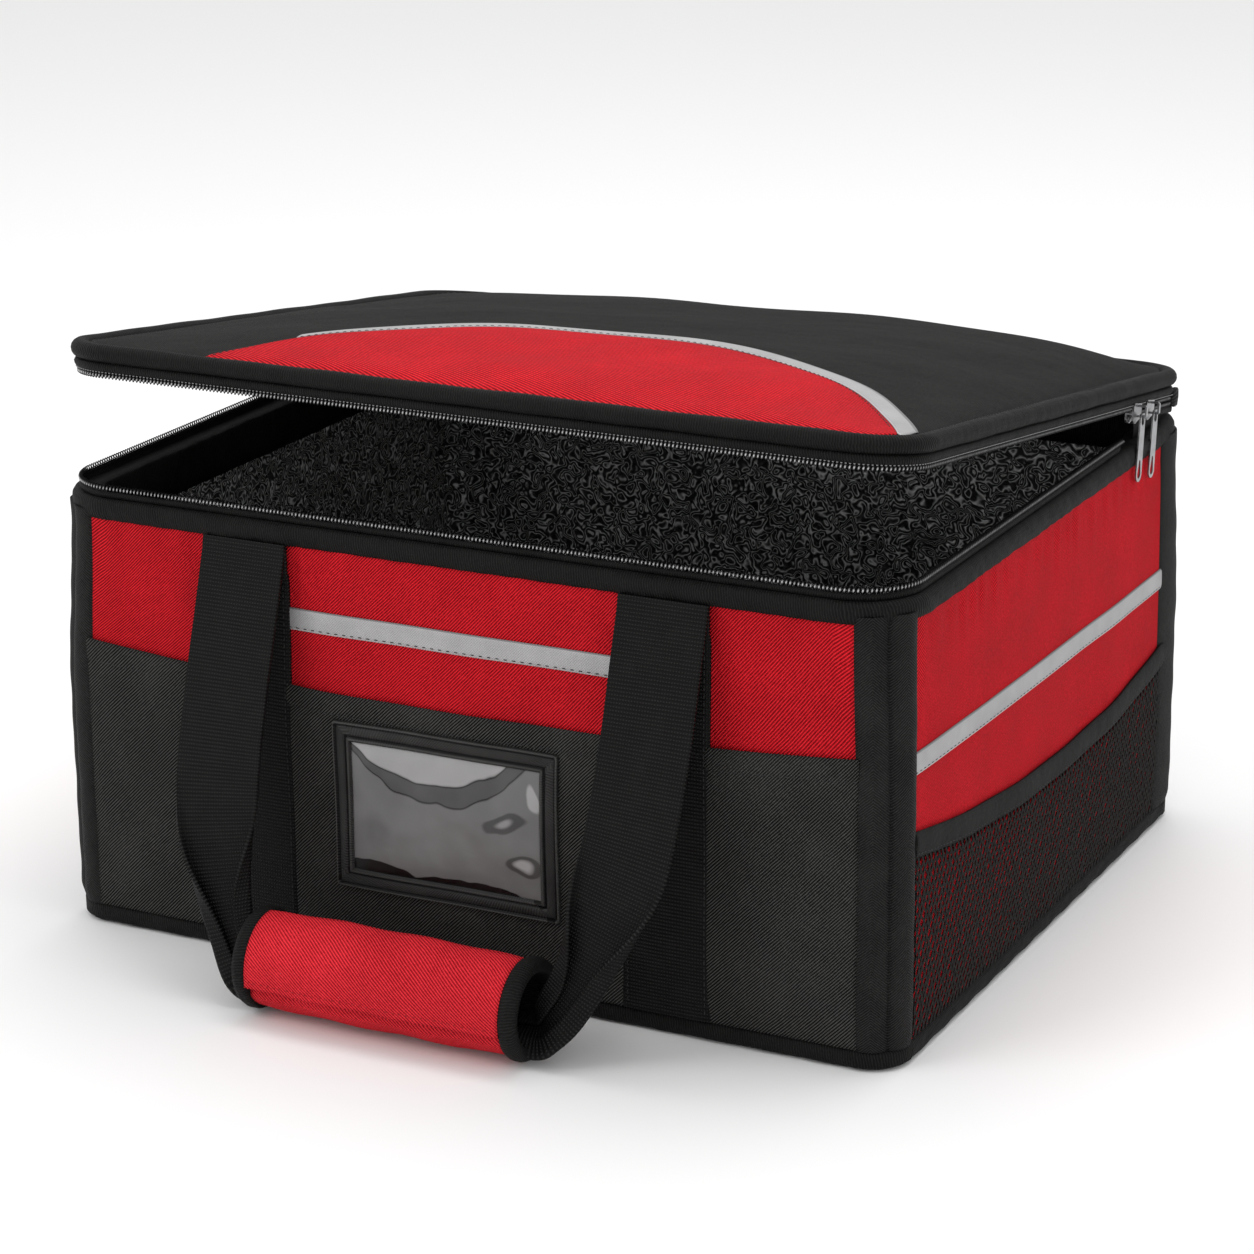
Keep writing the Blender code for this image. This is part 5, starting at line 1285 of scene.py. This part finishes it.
def window():
    """Vinyl window border with a mitred bevel, and its wrinkled clear film."""
    levels = ((0.0, -0.0002), (0.0001, 0.0012), (0.0006, 0.0018), (0.0012, 0.0016), (0.0017, 0.0005),
              (0.0026, 0.0009), (0.0062, 0.0015), (0.0074, 0.0009), (0.0080, 0.0003), (0.0085, 0.0012),
              (0.0093, 0.0017), (0.0103, 0.0013), (0.0109, 0.0005), (0.0115, 0.0001))
    rows = np.array([border_ring(inset, lift * 1.4) for inset, lift in levels])
    runs = np.linalg.norm(np.roll(rows[0], -1, axis=0) - rows[0], axis=1).cumsum()
    spread = np.stack(np.meshgrid(runs, [inset for inset, _ in levels]), axis=-1)
    sew("window_border", rows, "vinyl", "bag", ("id_window_frame",), FILM, wrap=True, spread=spread)
    half_x = WINDOW_WIDTH / 2 - WINDOW_BORDER + 0.001
    half_z = WINDOW_HEIGHT / 2 - WINDOW_BORDER + 0.001
    x = np.linspace(-half_x, half_x, 90)
    z = np.linspace(-half_z, half_z, 60)[:, None]
    held = np.clip(1 - (x / half_x) ** 8, 0, 1) * np.clip(1 - (z / half_z) ** 8, 0, 1)
    folds = np.sin(x * 70 + z * 40 + 2.0 * np.sin(z * 47)) + np.sin(x * 41 - z * 85)
    grid = on_window(x, z, 0.0006 + held * (0.0007 + 0.00025 * folds))
    film = sew("window_film", grid, "clear_film", "bag", ("id_window_film",), 0.0003)
    line = border_ring(0.0068, 0.0013)
    line = np.concatenate((line, line[:1]))
    stitch("window_stitching", [(line, SIDES["front"][1])], "dark_thread", "bag", 0.002, 0.0014)


def side_sag(y, front=0.125, middle=0.103, rear=0.117):
    """Return the height of a side pocket's edge, which sags between its ends."""
    along = np.clip((y + SIDE_EDGE_Y) / (2 * SIDE_EDGE_Y), 0, 1)
    return np.where(along < 0.58, middle + (front - middle) * (1 - along / 0.58) ** 2,
                    middle + (rear - middle) * ((along - 0.58) / 0.42) ** 2)


def net_pocket():
    """Bound top edge and open net of the pocket on the right side."""
    y = np.linspace(-UNDER_ROLL_Y, UNDER_ROLL_Y, 130)
    share = np.linspace(0, 1, 9)[:, None]
    lift = 0.0018 + 0.0012 * np.sin(math.pi * share) ** 0.7
    sew("net_pocket_binding", skin("right", y, side_sag(y) - NET_BAND_DEPTH * (1 - share), lift),
        "black_binding", "bag", ("mesh_pocket_band",), 0.0018)
    across = int(2 * UNDER_ROLL_Y / NET_PITCH) + 1
    knots = []
    for row in range(NET_ROWS + 1):
        for column in range(across):
            place = min(-UNDER_ROLL_Y + NET_PITCH * (column + row % 2 / 2), UNDER_ROLL_Y)
            top = float(side_sag(place)) - NET_TUCK
            height = PANEL_BOTTOM + (top - PANEL_BOTTOM) * row / NET_ROWS
            belly = 0.0006 + 0.0008 * math.sin(math.pi * row / NET_ROWS) ** 0.8
            if 0 < row < NET_ROWS:
                place += random.uniform(-0.0009, 0.0009)
                height += random.uniform(-0.0006, 0.0006)
            knots.append((place, height, belly))
    faces = []
    for row in range(NET_ROWS - 1):
        for low in range(row * across, row * across + across - 1):
            shift = 1 - row % 2
            faces.append((low + shift, low + across + 1, low + 2 * across + shift, low + across))
    mesh = new_mesh("side_net", skin("right", *np.array(knots).T), faces, smooth=False)
    net = dress("side_net", mesh, "black_mesh", "bag", ("mesh_pocket_net",))
    wire = net.modifiers.new("strands", "WIREFRAME")
    wire.thickness = NET_STRAND
    wire.use_even_offset = False


def lower_panels():
    """Charcoal lower panels of the left side and the rear, each with a hem."""
    y = np.linspace(-UNDER_ROLL_Y, UNDER_ROLL_Y, 130)
    tops = side_sag(-y)
    z = PANEL_BOTTOM + (tops - PANEL_BOTTOM) * np.linspace(0, 1, 40)[:, None]
    panel = sew("left_lower_cloth", skin("left", y, z, PANEL_LIFT + hem(tops - z)), "pocket_twill", "bag",
                ("left_lower_panel",), PANEL_CLOTH)
    lines = [(skin("left", y, tops - HEM_HEIGHT, 0.0016), SIDES["left"][1]),
             (skin("right", y, side_sag(y) - NET_BAND_SEAM, 0.0026), SIDES["right"][1])]
    z = np.linspace(PANEL_BOTTOM, POCKET_HEIGHT, 44)[:, None]
    for name, stop, start in BAYS:
        x = np.linspace(-start, -stop, max(20, int((start - stop) / 0.004)))
        panel = sew("rear_lower_cloth_" + name, skin("rear", x, z, PANEL_LIFT + hem(POCKET_HEIGHT - z)),
                    "pocket_twill", "bag", ("rear_lower_" + name,), PANEL_CLOTH)
        lines.append((skin("rear", x, POCKET_HEIGHT - HEM_HEIGHT, 0.0016), SIDES["rear"][1]))
    stitch("lower_panel_stitching", lines, "dark_thread", "bag")


def reflective_strips():
    """Reflective strips with their stitched edges."""
    lines = []
    x = np.linspace(-WEBBING_INNER - 0.003, WEBBING_INNER + 0.003, 70)
    y = np.linspace(-UNDER_ROLL_Y, UNDER_ROLL_Y, 120)
    share = np.linspace(0, 1, 9)[:, None]
    for side, across, low in (("front", x, np.full(len(x), FRONT_STRIP_BOTTOM)),
                              ("right", y, SIDE_STRIP_BOTTOM - SIDE_STRIP_SLOPE * y),
                              ("left", y, SIDE_STRIP_BOTTOM + SIDE_STRIP_SLOPE * y)):
        lift = 0.0010 - 0.0004 * np.abs(2 * share - 1) ** 6
        strip = sew(side + "_strip", skin(side, across, low + STRIP_WIDTH * share, lift),
                    "reflective_tape", "bag", (side + "_reflective_strip",), 0.0007)
        lines.append((skin(side, across, low + 0.0013, 0.0009), SIDES[side][1]))
    stitch("strip_stitching", lines, "dark_thread", "bag", 0.0026, 0.0022)


def hardware():
    """Finish the sliders, pull tabs and end stops that keep their CAD shape."""
    for name in ("zip_slider_rear", "zip_slider_front", "pull_tab_rear", "pull_tab_front",
                 "left_zip_stop", "right_zip_stop"):
        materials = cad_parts[name].data.materials
        materials.clear()
        materials.append(FINISHES["slider_metal"])


# ---------------------------------------------------------------- studio

CAMERA_YAW = math.radians(26.87)
CAMERA_PITCH = math.radians(17.81)
CAMERA_ROLL = math.radians(-0.47)
CAMERA_TARGET = Vector((-0.00885, 0.0, 0.1402))
CAMERA_DISTANCE = 2.1257
CAMERA_LENS = 106.77
FLOOR_REACH = 12.0
FLOOR_TONE = 0.845
SURROUND_STRENGTH = 0.89
# Each light: name, place, target, width and height, power
LIGHTS = (
    ("key_light", (-1.3, -1.9, 2.2), (0, 0, 0.1), (1.4, 1.0), 17),
    ("fill_light", (2.6, -0.8, 1.5), (0, 0, 0.15), (1.4, 1.4), 7),
    ("top_light", (0.2, 0.6, 2.6), (0, 0, 0.2), (2.0, 2.0), 33),
    ("low_light", (-2.0, -1.9, 0.62), (0.2, 0.1, 0.2), (0.7, 0.5), 5),
)


def camera():
    """Camera at the photograph's viewing angle."""
    back = Vector((math.sin(CAMERA_YAW) * math.cos(CAMERA_PITCH),
                   -math.cos(CAMERA_YAW) * math.cos(CAMERA_PITCH), math.sin(CAMERA_PITCH)))
    data = bpy.data.cameras.new("studio_camera")
    data.sensor_width = 36.0
    data.lens = CAMERA_LENS
    data.clip_end = 50.0
    lens = put("studio_camera", data)
    lens.location = CAMERA_TARGET + back * CAMERA_DISTANCE
    lens.rotation_mode = "QUATERNION"
    lens.rotation_quaternion = (-back).to_track_quat("-Z", "Y") @ Quaternion((0, 0, 1), CAMERA_ROLL)
    bpy.context.scene.camera = lens


def studio():
    """Pale floor, soft lights and a pale surround."""
    mesh = bpy.data.meshes.new("studio_floor")
    mesh.from_pydata([(x * FLOOR_REACH, y * FLOOR_REACH, 0) for x, y in ((-1, -1), (1, -1), (1, 1), (-1, 1))],
                     [], [(0, 1, 2, 3)])
    floor = put("studio_floor", mesh)
    floor.location = (0, 0, -0.0005)
    recipe = Recipe("studio_floor_paint", Roughness=0.7, Specular_IOR_Level=0.2)
    mesh.materials.append(recipe.finish((FLOOR_TONE, FLOOR_TONE, FLOOR_TONE, 1.0)))
    world = bpy.data.worlds.new("studio_surround")
    bpy.context.scene.world = world
    world.use_nodes = True
    surround = world.node_tree.nodes["Background"].inputs
    surround["Color"].default_value = (1, 1, 1, 1)
    surround["Strength"].default_value = SURROUND_STRENGTH
    for name, place, target, size, power in LIGHTS:
        data = bpy.data.lights.new(name, "AREA")
        data.shape = "RECTANGLE"
        data.size, data.size_y = size
        data.energy = power
        lamp = put(name, data)
        lamp.location = place
        lamp.rotation_mode = "QUATERNION"
        lamp.rotation_quaternion = (Vector(target) - Vector(place)).to_track_quat("-Z", "Y")
    bpy.context.scene.view_settings.view_transform = "Standard"


walls()
corner_bindings()
bottom_trim()
rim()
zips()
lining()
lid_cloth()
lid_trim()
lid_underside()
hinge_cloth()
rear_gussets()
zip_end()
sewn_webbings()
handle("front", -1, FRONT_REACH)
handle("rear", 1, REAR_REACH)
grip()
front_pocket()
window()
net_pocket()
lower_panels()
reflective_strips()
hardware()
camera()
studio()
